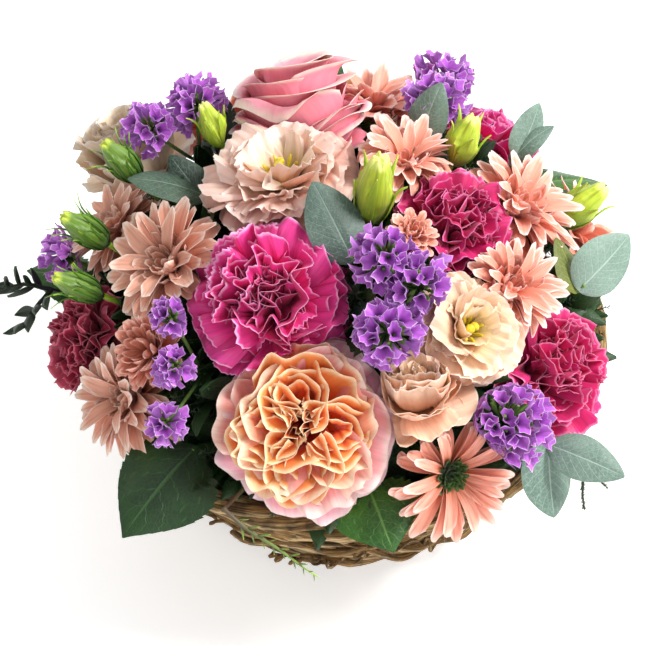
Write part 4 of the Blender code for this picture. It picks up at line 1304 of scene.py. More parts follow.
@dataclass
class Head(Stemmed):
    """A flower head."""

    radius: float
    finish: PetalFinish
    slot: str
    seed: int = 0
    fine: float = 1.0
    lean: tuple[float, float, float] = (0.0, 0.0, 0.0)

    DEPTH: ClassVar[float] = 0.6
    BALL_DEPTH: ClassVar[float] = 0.6
    STEM_R: ClassVar[float] = 1.6
    CALYX_R: ClassVar[float] = 4.5
    CALYX_PROFILE: ClassVar[tuple[float, ...]] = (0.35, 0.75, 1.0, 0.96, 0.7)
    SEPALS: ClassVar[int] = 5
    SEPAL: ClassVar[float] = 0.5
    SEPAL_CUT: ClassVar[Cut] = Cut(
        width=0.42, claw=0.7, belly=0.35, corner=0.7, wave=0.02, trough=0.12, wrap=0.9, rows=7, cols=5
    )
    CUT: ClassVar[Cut] = Cut()
    WHORLS: ClassVar[tuple[Whorl, ...]] = ()
    SLACK: ClassVar[tuple[float, float]] = (0.5 * MM, 6.0 * MM)

    def sunk(self, share: float) -> Array:
        """A point on its stem, a share of its radius behind its face."""
        return self.spot - self.axis * share * self.radius * MM

    def balls(self) -> list[Ball]:
        """The ball that stands for it among its neighbours."""
        return [(self.sunk(self.DEPTH * self.BALL_DEPTH), self.radius * MM)]

    @cached_property
    def seat(self) -> Seat:
        """Its seat, which may lean away from its stem."""
        return self.seat_at(self.sunk(self.DEPTH), unit(self.axis + self.lean), *self.balls())

    def petals(self, tissue: Tissue) -> None:
        """Adds every whorl's petals, with fewer points on a head that needs less.

        Args:
            tissue: What they go into.
        """
        dice = self.dice
        cut = replace(self.CUT, rows=round(self.CUT.rows * self.fine), cols=round(self.CUT.cols * self.fine))
        for index, whorl in enumerate(self.WHORLS):
            turn = dice.uniform(0, math.tau)
            age = index / max(len(self.WHORLS) - 1, 1)
            for k in range(whorl.petals):
                around = turn + (k + dice.uniform(-0.12, 0.12)) * math.tau / whorl.petals
                grid = petal(cut, whorl, around, self.radius * MM, dice)
                grid = self.seat.place(grid, dice.uniform(*self.SLACK))
                tissue.sheet(grid, cut.thick, dice.random(), age**1.5)

    def heart(self) -> None:
        """Makes what stands in the middle of the head, if it has anything of its own."""

    def stem(self) -> None:
        """Makes the stem, the cup under the petals and its sepals."""
        tissue, base = Tissue(), self.seat.base
        foot = stem_foot(base)
        way = unit(base - foot)
        neck = base - way * self.CALYX_R * 1.7 * MM
        tissue.tube(line(foot, neck, 6), self.STEM_R * 0.95, 8, 0.4)
        cup = np.linspace(0, 1.75, 5)[:, None] * way * self.CALYX_R * MM + neck - way * 0.4 * MM
        tissue.tube(cup, np.maximum(self.CALYX_R * np.array(self.CALYX_PROFILE), self.STEM_R), 12, 0.7)
        whorl = Whorl(self.SEPALS, 4, self.SEPAL, 10, 10, foot=self.CALYX_R / self.radius * 0.7)
        for k in range(self.SEPALS):
            around = (k + 0.2) * math.tau / self.SEPALS
            grid = petal(self.SEPAL_CUT, whorl, around, self.radius * MM, self.dice)
            grid[..., 2] -= self.CALYX_R * 0.55 * MM
            tissue.sheet(self.seat.place(grid), 0.5, self.dice.random())
        self.add("stem", tissue, GREEN_STEM, "leaf")

    def build(self) -> None:
        """Makes the head's pieces."""
        tissue = Tissue()
        self.petals(tissue)
        self.add("petals", tissue, self.finish, self.slot)
        self.heart()
        self.stem()


class GardenRose(Head):
    """An old garden rose: broad waved outer petals round a quartered heart of folded bands."""

    DEPTH = 0.62
    STEM_R = 2.6
    CALYX_R = 6.5
    CUT = Cut(
        width=1.0, claw=0.35, belly=0.72, corner=0.18, notch=0.09, wave=0.09, waves=2.1, wild=2.1, rows=12,
        cols=21, thick=0.45,
    )
    WHORLS = (
        Whorl(5, -4, 1.14, 30, -34, 1.15),
        Whorl(5, 7, 1.12, 40, -24, 1.1),
        Whorl(6, 17, 1.02, 50, -8, 1.0),
        Whorl(6, 26, 0.97, 60, 12, 0.95),
        Whorl(6, 34, 0.92, 68, 42, 0.9),
        Whorl(5, 41, 0.89, 74, 70, 0.85),
    )
    SLACK = (0.5 * MM, 9.0 * MM)
    QUARTERS: ClassVar[int] = 4
    FOLDS: ClassVar[int] = 4
    LAST: ClassVar[int] = 7
    LAST_CUT: ClassVar[Cut] = Cut(
        width=1.2, claw=0.3, corner=0.2, wave=0.14, wrap=0.6, wild=2.0, rows=9, cols=11
    )

    def petals(self, tissue: Tissue) -> None:
        """Adds the outer whorls, then the folded bands of each quarter, then the small last petals.

        Args:
            tissue: What they go into.
        """
        super().petals(tissue)
        dice, radius = self.dice, self.radius * MM
        turn = dice.uniform(0, math.tau)
        for quarter in range(self.QUARTERS):
            around = turn + (quarter + dice.uniform(-0.15, 0.15)) * math.tau / self.QUARTERS
            out, broad = radius * dice.uniform(0.27, 0.36), dice.uniform(0.8, 1.25)
            for fold in range(self.FOLDS):
                size = radius * 0.33 * broad * (1 - fold / (self.FOLDS + 0.3)) * dice.uniform(0.93, 1.07)
                grid = self.seat.place(spin(self.band(out, size, 0.63 - 0.025 * fold), around), self.SLACK[0])
                tissue.sheet(grid, 0.6, dice.random(), 1.0)
        for k in range(self.LAST):
            whorl = Whorl(9, dice.uniform(66, 86), 0.62, 74, 96, 0.55, 0.02)
            grid = petal(self.LAST_CUT, whorl, k * GOLDEN_ANGLE, radius, dice)
            tissue.sheet(self.seat.place(grid, self.SLACK[0]), 0.45, dice.random(), 1.0)

    def band(self, out: float, size: float, high: float) -> Array:
        """One petal folded round its quarter, open towards the middle of the head.

        Args:
            out: How far out the quarter's middle is, in metres.
            size: Half the width of the fold, in metres.
            high: Height of its edge, as a share of the head's radius.

        Returns:
            Rows up and columns along the band.
        """
        dice, radius = self.dice, self.radius * MM
        span = dice.uniform(2.3, 2.75)
        turn, share = weave(-span, span, round(35 * self.fine), round(8 * self.fine))
        a, b = dice.uniform(0, 6), dice.uniform(0, 6)
        ruffle = 1 + 0.1 * np.sin(3 * turn + a) * (0.4 + 0.6 * share) + 0.07 * np.sin(7 * turn + b) * share
        spread = size * ruffle * (0.68 + 0.32 * share**1.5) + 2.4 * MM * share**3
        x = out * (0.86 + 0.14 * share) + spread * np.cos(turn) * 1.15
        y = spread * np.sin(turn) * 0.98 + 0.03 * radius * np.sin(1.5 * turn + a)
        dome = 1 - 0.3 * (np.hypot(x, y) / (0.7 * radius)) ** 2
        top = radius * (high + 0.035 * np.sin(2.5 * turn + b) + 0.018 * np.sin(8 * turn + a)) * dome
        return np.stack((x, -y, top - (1 - share) * radius * 0.36), axis=-1)


class TallRose(Head):
    """A tall rose seen from its side: broad cupped petals whose pale edges roll outwards."""

    DEPTH = 1.25
    STEM_R = 2.6
    CALYX_R = 7.0
    CUT = Cut(
        width=1.3, claw=0.4, belly=0.7, corner=0.2, waves=1.6, lip=0.16, wrap=0.95, wild=1.8, rows=15,
        cols=25, thick=0.5,
    )
    WHORLS = (
        Whorl(4, 20, 1.1, 0, 12, 1.1),
        Whorl(4, 38, 1.25, 8, 40, 1.4),
        Whorl(4, 50, 1.45, 20, 62, 1.4),
        Whorl(3, 60, 1.55, 40, 72, 1.4),
        Whorl(3, 67, 1.56, 56, 78, 1.25),
        Whorl(3, 75, 1.45, 68, 90, 1.0),
        Whorl(2, 84, 1.36, 80, 100, 0.8),
    )


class Carnation(Head):
    """A carnation: a dense ball of pleated fans with toothed edges."""

    DEPTH = 0.86
    STEM_R = 2.0
    CALYX_R = 6.5
    SEPAL = 0.32
    CUT = Cut(
        width=1.0, claw=0.14, belly=0.98, wave=0.17, waves=2.1, pleat=0.055, pleats=4.5, fringe=0.045,
        teeth=13, wrap=0.35, wild=2.8, rows=8, cols=27, thick=0.35,
    )
    SLACK = (0.5 * MM, 9.0 * MM)
    WHORLS = (
        Whorl(7, -4, 1.05, 20, -20, 1.15),
        Whorl(7, 9, 1.07, 28, -12, 1.15),
        Whorl(8, 22, 1.06, 38, 2, 1.1),
        Whorl(8, 35, 1.03, 48, 18, 1.0),
        Whorl(8, 48, 1.0, 56, 38, 0.9),
        Whorl(8, 60, 0.98, 66, 55, 0.8),
        Whorl(7, 71, 0.96, 74, 70, 0.75),
        Whorl(6, 80, 0.94, 80, 84, 0.7),
        Whorl(4, 87, 0.92, 86, 92, 0.6),
    )


class Lisianthus(Head):
    """A double lisianthus: wide ruffled petals round an open cup with its pistil and stamens."""

    DEPTH = 0.62
    CALYX_R = 3.5
    CUT = Cut(
        width=1.25, belly=0.8, corner=0.16, wave=0.12, waves=1.9, pleat=0.014, pleats=8, fringe=0.026,
        teeth=15, crimp=0.034, wild=2.2, rows=12, cols=33, thick=0.35,
    )
    WHORLS = (
        Whorl(6, 3, 1.0, 42, -26),
        Whorl(6, 16, 1.02, 50, -12),
        Whorl(5, 30, 0.98, 58, 8, 1.1),
        Whorl(5, 44, 0.9, 66, 34, 1.1),
        Whorl(4, 58, 0.82, 72, 64, 1.1),
    )
    STAMENS: ClassVar[int] = 7

    def heart(self) -> None:
        """Makes the green pistil with its two lobes, and the stamens round it."""
        tissue, place = Tissue(), self.seat.place
        up = np.array((0, 0, self.radius * MM))
        high = np.linspace(0.05, 0.4, 7)[:, None] * up
        tissue.tube(place(high), (2.6, 3.0, 2.6, 1.4, 1.1, 1.2, 1.6), 12, 0.8)
        for hand in (-1, 1):
            lobe = np.linspace(0, 1, 5)[:, None] * (hand * 2.6 * MM, 0.4 * MM, 1.6 * MM) + high[-1]
            tissue.tube(place(lobe), (1.2, 1.9, 2.2, 1.8, 0.9), 10, 0.9)
        for k in range(self.STAMENS):
            turn = math.tau * k / self.STAMENS + self.dice.uniform(-0.2, 0.2)
            out = np.array((math.cos(turn), math.sin(turn), 0)) * self.radius * MM
            shares = np.linspace(0, 1, 6)[:, None]
            path = shares * (0.15 * out + 0.34 * up) + shares**2 * 0.04 * out + 0.05 * up
            tissue.tube(place(path), (0.35, 0.35, 0.35, 0.4, 0.95, 0.5), 6, 0.3)
        self.add("heart", tissue, HEART, "lime")


class CuppedLisianthus(Lisianthus):
    """A half open lisianthus: a deep cup of smoother petals whose outside shows."""

    CUT = replace(Lisianthus.CUT, crimp=0.02, fringe=0.014, wave=0.09)
    WHORLS = (
        Whorl(4, 14, 1.0, 20, 10, 1.2),
        Whorl(5, 44, 1.1, 12, 62, 1.35),
        Whorl(4, 60, 1.2, 30, 66, 1.35),
        Whorl(4, 72, 1.14, 60, 70, 1.2),
        Whorl(3, 80, 1.05, 74, 80, 1.0),
    )


@dataclass(frozen=True)
class Spiral:
    """Florets in a sunflower spiral: their cut and count, and the sines of their outer and inner lean.

    Size is the share of the head's radius that the outer and the inner ones are long, and arch is how
    they leave and arrive, in degrees.
    """

    cut: Cut
    count: int
    rise: tuple[float, float]
    size: tuple[float, float]
    arch: tuple[float, float]
    age: float


class SpiralHead(Head):
    """A daisy-like head whose florets stand in spirals, the last of which may be an eye."""

    STRAP: ClassVar[Cut] = Cut(
        width=0.34, claw=0.4, corner=0.2, wave=0.014, wrap=0, rows=7, cols=5, thick=0.45
    )
    SPIRALS: ClassVar[tuple[Spiral, ...]] = ()
    EYE: ClassVar[PetalFinish | None] = None

    def florets(self, spiral: Spiral, dice: random.Random) -> bpy.types.Mesh:
        """The florets of one spiral, in their place.

        Args:
            spiral: The spiral.
            dice: Random draws for the shape of the floret.

        Returns:
            Their mesh.
        """
        reach, strap = self.radius * MM, Tissue()
        blade = petal(spiral.cut, Whorl(1, 0, 1.0, *spiral.arch, foot=0.0), 0.0, 1.0, dice)
        strap.sheet(blade, spiral.cut.thick / reach)
        mesh = spiral_grower().grow(
            self.node, self.finish, copied=strap, Count=spiral.count, Seed=self.seed, Low=spiral.rise[0],
            High=spiral.rise[1], Bias=0.85, Seat=0.06 * reach, Outer_Size=spiral.size[0] * reach,
            Inner_Size=spiral.size[1] * reach, Spread=0.14, Roll=0.4, Age=spiral.age, Loose=0.3,
        )
        self.seat.settle(mesh, self.SLACK[1] / 2)
        return mesh

    def build(self) -> None:
        """Makes the head's pieces."""
        dice = random.Random(self.seed)
        meshes = [self.florets(spiral, dice) for spiral in self.SPIRALS]
        if self.EYE:
            self.add("eye", meshes.pop(), self.EYE, "leaf")
        self.add("petals", joined(self.node, meshes), self.finish, self.slot)
        self.stem()


class Chrysanthemum(SpiralHead):
    """A spray chrysanthemum: blunt strap petals over curled inner florets."""

    DEPTH = 0.55
    SEPALS = 8
    SEPAL = 0.36
    OUTER = replace(SpiralHead.STRAP, width=0.26, belly=0.66, corner=0.3, trough=0.07)
    INNER = replace(SpiralHead.STRAP, claw=0.5, belly=0.6, wave=0.02, trough=0.16, rows=6)
    SPIRALS = (
        Spiral(OUTER, 52, (-0.1, 0.76), (1.14, 0.94), (16, -14), 0.35),
        Spiral(INNER, 30, (0.76, 0.99), (0.68, 0.36), (-12, 46), 1.0),
    )


class Button(SpiralHead):
    """A small tight chrysanthemum: short spoon petals packed into a ball."""

    DEPTH = 0.8
    STEM_R = 1.2
    CALYX_R = 3.0
    SEPALS = 6
    SEPAL = 0.4
    SPOON = replace(SpiralHead.STRAP, claw=0.6, wave=0.05, thick=0.5)
    OUTER = replace(SPOON, width=0.3, belly=0.7, corner=0.12, trough=0.1)
    INNER = replace(SPOON, belly=0.6, corner=0.15, trough=0.16, rows=6)
    SPIRALS = (
        Spiral(OUTER, 34, (0.0, 0.7), (0.98, 0.9), (8, 10), 0.35),
        Spiral(INNER, 24, (0.68, 0.99), (0.86, 0.66), (-12, 46), 1.0),
    )


class Daisy(SpiralHead):
    """A daisy with two rows of long petals round a dark green eye."""

    DEPTH = 0.3
    SEPALS = 8
    SEPAL = 0.42
    EYE = DARK_EYE
    OUTER = replace(SpiralHead.STRAP, width=0.21, belly=0.65, trough=0.07, rows=10, cols=7)
    DISC = Cut(width=0.3, claw=0.8, belly=0.6, corner=0.3, trough=0.1, wrap=0, rows=4, cols=4, thick=0.6)
    SPIRALS = (
        Spiral(OUTER, 36, (-0.1, 0.42), (1.02, 0.84), (20, -22), 0.35),
        Spiral(DISC, 90, (0.42, 0.995), (0.3, 0.24), (0, 10), 1.0),
    )


# ---- buds, sprays and leafy stems ----
@dataclass
class Bud(Stemmed):
    """A twisted bud in long sepals, on its stem."""

    length: float
    radius: float
    seed: int = 0
    finish: PetalFinish = LIME
    skin: StemFinish = LIME_STEM

    SEPALS: ClassVar[int] = 5
    SEPAL_HALF: ClassVar[float] = 0.36
    FLARE: ClassVar[float] = 0.8
    FOLDS: ClassVar[int] = 4
    STATIONS: ClassVar[tuple[float, ...]] = (0.0, 0.05, 0.14, 0.3, 0.48, 0.66, 0.82, 0.93, 1.0)
    SIZES: ClassVar[tuple[float, ...]] = (0.16, 0.45, 0.72, 0.94, 1.0, 0.86, 0.64, 0.52, 0.34)

    def balls(self) -> list[Ball]:
        """Its ball among its neighbours."""
        return [(self.spot, self.radius * MM)]

    @cached_property
    def seat(self) -> Seat:
        """Its seat."""
        return self.seat_at(self.spot - self.axis * self.length * 0.5 * MM, self.axis, *self.balls())

    def build(self) -> None:
        """Makes the bud, then its stem and its sepals."""
        sides, shares = ring(36), np.linspace(0, 1, 26)[:, None]
        width = np.interp(shares, self.STATIONS, self.SIZES)
        fold = (sides + shares * 1.5) * self.FOLDS / math.tau % 1
        ridge = 1 + 0.26 * (fold - 0.5) * np.minimum(shares * 2, 1) + 0.03 * np.cos(3 * sides)
        frill = 0.03 * np.cos(5 * sides) * np.maximum(shares - 0.85, 0) / 0.15
        high = (shares + frill) * self.length * 0.98 * MM
        skin, green = Tissue(), Tissue()
        skin.loft(self.seat.place(polar_points(width * ridge * self.radius * 0.8 * MM, sides, high)))
        self.add("petals", skin, self.finish, "lime")
        green.tube(line(stem_foot(self.seat.base), self.seat.base, 6), 1.4, 8, 0.6)
        for k in range(self.SEPALS):
            self.sepal(green, k)
        self.add("stem", green, self.skin, "lime")

    def sepal(self, green: Tissue, number: int) -> None:
        """Adds one sepal, which holds the bud and curls out at its tip.

        Args:
            green: What it goes into.
            number: Its place round the bud.
        """
        dice, across, t = self.dice, np.linspace(-1, 1, 5), np.linspace(0, 1, 12)[:, None]
        along = t * dice.uniform(0.7, 0.95)
        flare = dice.uniform(0.3, self.FLARE) * np.clip((t - 0.6) / 0.4, 0, 1) ** 2
        out = np.interp(along, self.STATIONS, self.SIZES) * 0.86 + 0.05 + flare
        half = self.SEPAL_HALF * np.sin(math.pi * (0.12 + 0.86 * t)) ** 0.8 * (1 - 0.6 * t)
        around = math.tau * (number + dice.uniform(-0.1, 0.1)) / self.SEPALS
        bend = across * half / np.maximum(out, 0.3) + 0.35 * t
        size = self.radius * MM * (out - 0.06 * (1 - across**2))
        grid = polar_points(size, bend, along * self.length * MM)
        green.sheet(self.seat.place(spin(grid, around)), 0.55, dice.uniform(0.4, 1))


class TuftedBud(Bud):
    """A bud whose many sepals are thin threads."""

    SEPALS = 12
    SEPAL_HALF = 0.11
    FLARE = 1.3


@dataclass
class Statice(Plant):
    """Tufts of papery funnel florets on branches that meet in one stem.

    Each tuft has its azimuth, its angle from +Z, its lift and its radius.
    """

    tufts: list[tuple[float, float, float, float]]
    seed: int = 0

    FLORETS: ClassVar[int] = 29
    LEAST_FLORETS: ClassVar[int] = 17
    FLORET: ClassVar[float] = 7.6 * MM
    FULL_TUFT: ClassVar[float] = 13 * MM
    KNOT_DEPTH: ClassVar[float] = 26 * MM

    def balls(self) -> list[Ball]:
        """Each tuft's ball."""
        return [(dome_point(*place), radius * MM) for *place, radius in self.tufts]

    def floret(self) -> Tissue:
        """Makes one papery funnel with a folded mouth.

        Returns:
            The funnel, a unit long, along +X.
        """
        around, share = weave(math.tau, 0, 15, 5)
        a, b = self.dice.uniform(0, 6), self.dice.uniform(0, 6)
        fold = 0.2 * np.sin(5 * around + a) + 0.26 * np.sin(2 * around + b)
        size = (0.07 + 0.43 * share**1.5) * (1 + fold * share**2)
        x = share + share**3 * (0.13 * np.sin(5 * around + a + 1.2) + 0.08 * np.sin(2 * around + b))
        tissue = Tissue()
        tissue.sheet(np.roll(polar_points(size, around, x), 1, axis=-1), 0.03 / MM)
        return tissue

    def build(self) -> None:
        """Makes the florets by the spiral tree, then the branches."""
        meshes, twigs = [], Tissue()
        centre = sum(middle for middle, _ in self.balls()) / len(self.tufts)
        knot = centre - unit(centre - STEM_FOCUS) * self.KNOT_DEPTH
        twigs.tube(line(stem_foot(knot), knot, 5), 1.3, 7)
        for number, (middle, radius) in enumerate(self.balls()):
            seat = self.seat_at(middle, middle - STEM_FOCUS, (middle, radius))
            size = min(self.FLORET, radius * 0.8)
            count = max(int(self.FLORETS * (radius / self.FULL_TUFT) ** 2), self.LEAST_FLORETS)
            mesh = spiral_grower().grow(
                self.node, VIOLET, copied=self.floret(), Count=count, Seed=self.seed + number, Low=-0.5,
                High=1.0, Bias=1.0, Seat=radius - size * 0.85, Loose=0.35, Outer_Size=size, Inner_Size=size,
                Spread=0.45, Roll=3.0, Age=1.0,
            )
            seat.settle(mesh, 2 * MM)
            meshes.append(mesh)
            path = line(knot, middle, 5)
            path[1:4] += seat.turn[:, 0] * 1.2 * MM
            twigs.tube(path, 0.85, 6, 0.4)
            self.husks(twigs, seat, radius - size * 0.6, count)
        self.add("florets", joined(self.node, meshes), VIOLET, "violet")
        self.add("twigs", twigs, GREEN_STEM, "leaf")

    def husks(self, twigs: Tissue, seat: Seat, reach: float, count: int) -> None:
        """Adds the short green spokes that carry the florets, each with a pale husk at its end.

        Args:
            twigs: What they go into.
            seat: The tuft's seat.
            reach: How far out they come, in metres.
            count: How many there are.
        """
        for k in range(count):
            rise = -0.5 + 1.5 * (k + 0.5) / count
            flat = math.sqrt(max(1 - rise * rise, 0))
            turn = k * GOLDEN_ANGLE + self.dice.uniform(-0.2, 0.2)
            way = np.array((flat * math.cos(turn), flat * math.sin(turn), rise))
            spoke = np.array((1 * MM, reach * 0.5, reach * 0.75, reach))[:, None] * way
            twigs.tube(seat.place(spoke), (0.35, 0.45, 1.1, 0.7), 6, 0.6)


@dataclass(frozen=True)
class Leaf:
    """One leaf or twig: where it leaves its stem, where it points, its size, bend, twist and finish."""

    down: float
    azimuth: float
    polar: float
    length: float
    width: float
    bend: float
    twist: float = 0.0
    finish: LeafFinish | None = None

    def spread(self, outward: Array) -> tuple[Array, Array, Array]:
        """How it is turned.

        Args:
            outward: The way of its stem.

        Returns:
            The leaf's way, its upper face and its side.
        """
        way = direction(self.azimuth, self.polar)
        face = unit(outward - way * (outward @ way))
        twist = math.radians(self.twist)
        face = face * math.cos(twist) + np.cross(way, face) * math.sin(twist)
        return way, face, np.cross(way, face)


@dataclass
class Leafy(Stemmed):
    """A stem with leaves or twigs, which leave it at their own depths below its tip."""

    def root(self, leaf: Leaf) -> Array:
        """Where a leaf leaves the stem."""
        return self.spot - self.axis * (leaf.down + 1) * MM


@dataclass
class Sprig(Leafy):
    """A stem from the foam with broad leaves, rounded at their ends."""

    finish: LeafFinish
    leaves: list[Leaf]

    SLOT: ClassVar[str] = "sage"
    STEM_R: ClassVar[float] = 1.2
    TOOTHED: ClassVar[bool] = False
    BLUNT: ClassVar[float] = 0.7
    ROWS: ClassVar[int] = 30
    COLS: ClassVar[int] = 15

    def blade(self, leaf: Leaf) -> Array:
        """The middle surface of a leaf: arched, folded along its rib, waved and cut at its edge.

        Args:
            leaf: The leaf.

        Returns:
            Rows along and columns across.
        """
        way, face, side = leaf.spread(self.axis)
        spine = self.root(leaf) - way * 2 * MM
        across = np.linspace(-1, 1, self.COLS)[:, None]
        phase = self.dice.uniform(0, math.tau)
        rows = []
        for i in range(self.ROWS):
            share = i / (self.ROWS - 1)
            droop = math.radians(leaf.bend) * (share - 0.5) * 2
            ahead = way * math.cos(droop) - face * math.sin(droop)
            normal = face * math.cos(droop) + way * math.sin(droop)
            half = leaf.width / 2 * math.sin(math.pi * (0.015 + 0.985 * share) ** 0.8) ** self.BLUNT
            if self.TOOTHED and 0 < i < self.ROWS - 1:
                half *= 1.04 if i % 2 else 0.95
            half = max(half, 0.35) * MM
            wave = 0.045 * np.sin(9 * share + phase + 1.4 * across) * np.abs(across) ** 1.5
            sunk = -0.18 * np.abs(across) ** 1.4 + wave + 0.05 * (1 - np.exp(-((across / 0.12) ** 2)))
            notch = -0.12 * half * np.abs(across) if self.TOOTHED and i % 2 else 0.0
            rows.append(spine + (across * side + sunk * normal) * half + notch * ahead)
            spine = spine + ahead * (leaf.length + 2) / (self.ROWS - 1) * MM
        return np.array(rows)

    def build(self) -> None:
        """Makes the leaves and their stem."""
        stem = Tissue()
        taper = np.linspace(self.STEM_R, self.STEM_R * 0.7, 6) * 0.95
        stem.tube(line(stem_foot(self.spot), self.spot, 6), taper, 8)
        for number, leaf in enumerate(self.leaves):
            sheet = Tissue()
            sheet.sheet(self.blade(leaf), 0.8, self.dice.random())
            self.add(f"leaf_{number}", sheet, leaf.finish or self.finish, self.SLOT)
            ahead = direction(leaf.azimuth, leaf.polar)
            stalk = self.root(leaf) + ahead * np.linspace(-0.5, 3.5, 4)[:, None] * MM
            stem.tube(stalk, (0.9, 0.8, 0.7, 0.5), 6, 0.7)
        self.add("stem", stem, GREEN_STEM, "leaf")


class ToothedSprig(Sprig):
    """A stronger stem whose pointed leaves have teeth."""

    SLOT = "leaf"
    STEM_R = 1.4
    TOOTHED = True
    BLUNT = 1.0


class Foliage(Enum):
    """What a frond's twigs carry: its name, how many pairs, how far they tilt and how far they roll."""

    NEEDLES = ("needles", 8, 0.35, 3.0)
    BRISTLES = ("bristles", 60, 0.9, 3.0)
    LEAFLETS = ("leaflets", 4, 0.35, 0.5)

    def reach(self, twig: Leaf, share: float) -> float:
        """How long one of them is.

        Args:
            twig: The twig that it stands on.
            share: How far along the twig that is.

        Returns:
            Its length in millimetres.
        """
        if self is Foliage.BRISTLES:
            return twig.width * 0.5
        return twig.length * (0.62 - 0.2 * share) if self is Foliage.LEAFLETS else twig.width * (1.9 - share)


def leaflet(cols: int, rows: int, half: float, ends: tuple[float, float], arch: float, fold: float) -> Array:
    """The middle surface of a small pointed leaf, a unit long, along +X.

    Args:
        cols: Points across it.
        rows: Points along it.
        half: Half its width.
        ends: How blunt its foot is, and how much of its length follows.
        arch: How far it arches.
        fold: How far its sides drop from its rib.

    Returns:
        Rows along and columns across.
    """
    across, share = weave(-1, 1, cols, rows)
    width = half * np.sin(math.pi * (ends[0] + ends[1] * share) ** 0.85)
    return np.stack((share, across * width, arch * share * (1 - share) - fold * np.abs(across)), axis=-1)


def strew(
    name: str, copied: Tissue, spots: list[tuple[Array, Array, float]], finish: Finish, seed: int, roll: float
) -> bpy.types.Mesh:
    """One copy of a tissue on every spot.

    Args:
        name: Name of the mesh.
        copied: What is copied, a unit long, along +X.
        spots: Where each copy stands, where it points and how long it is, in metres.
        finish: What they are finished in.
        seed: Seed of the random draws.
        roll: How far they turn about their own length, in radians.

    Returns:
        The copies as one mesh.
    """
    seats, ways, sizes = (np.array(row) for row in zip(*spots))
    points = bpy.data.meshes.new(name)
    points.from_pydata(seats, [], [])
    points.attributes.new("way", "FLOAT_VECTOR", "POINT").data.foreach_set("vector", np.ravel(ways))
    points.attributes.new("size", "FLOAT", "POINT").data.foreach_set("value", sizes)
    return scatter_grower().grow(name, finish, points, copied, Seed=seed, Roll=roll)


@dataclass
class Frond(Leafy):
    """A thin stem whose twigs carry fern needles, close bristles or flat leaflets."""

    foliage: Foliage
    finish: StemFinish
    twigs: list[Leaf]
    seed: int = 0

    STEM_R: ClassVar[float] = 0.9
    STEPS: ClassVar[int] = 14

    def unit_leaf(self) -> Tissue:
        """Makes one needle, bristle or leaflet.

        Returns:
            It, a unit long, along +X.
        """
        tissue = Tissue()
        if self.foliage is Foliage.LEAFLETS:
            tissue.sheet(leaflet(7, 12, 0.22, (0.05, 0.93), 0.3, 0.07), 0.05 / MM, 0.4)
        else:
            needle = np.linspace(0, 1, 4)[:, None] * (1.0, 0, 0)
            tissue.tube(needle, np.array((0.06, 0.09, 0.07, 0.02)) / MM, 4)
        return tissue

    def build(self) -> None:
        """Makes the stem and twigs, and what they carry by the scatter tree."""
        dice, wood, spots = self.dice, Tissue(), []
        part, pairs, tilt, roll = self.foliage.value
        wood.tube(line(self.spot, stem_foot(self.spot), 6), self.STEM_R, 7, 0.4)
        t = np.linspace(0, 1, self.STEPS)[:, None]
        for twig in self.twigs:
            way, face, side = twig.spread(self.axis)
            sag = math.radians(twig.bend) * t**2 * twig.length * 0.5
            wobble = 0.5 * np.sin(9 * t + dice.uniform(0, 6))
            path = self.root(twig) + (way * twig.length * t - face * sag + side * wobble) * MM
            wood.tube(path, np.linspace(twig.width * 0.28, 0.35, self.STEPS), 6)
            for k in range(pairs * 2):
                share = 0.12 + 0.86 * (k + 0.5) / (pairs * 2)
                seat = np.array([np.interp(share, t[:, 0], column) for column in path.T])
                hand = 0.8 if k % 2 else -0.8
                lean = way * dice.uniform(0.5, 0.9) + side * hand + face * dice.uniform(-tilt, tilt)
                size = self.foliage.reach(twig, share) * dice.uniform(0.7, 1.15) * MM
                spots.append((seat, unit(lean), size))
        leaves = strew(self.node, self.unit_leaf(), spots, self.finish, self.seed, roll)
        self.add(part, leaves, self.finish, "fern")
        self.add("stem", wood, self.finish, "fern")


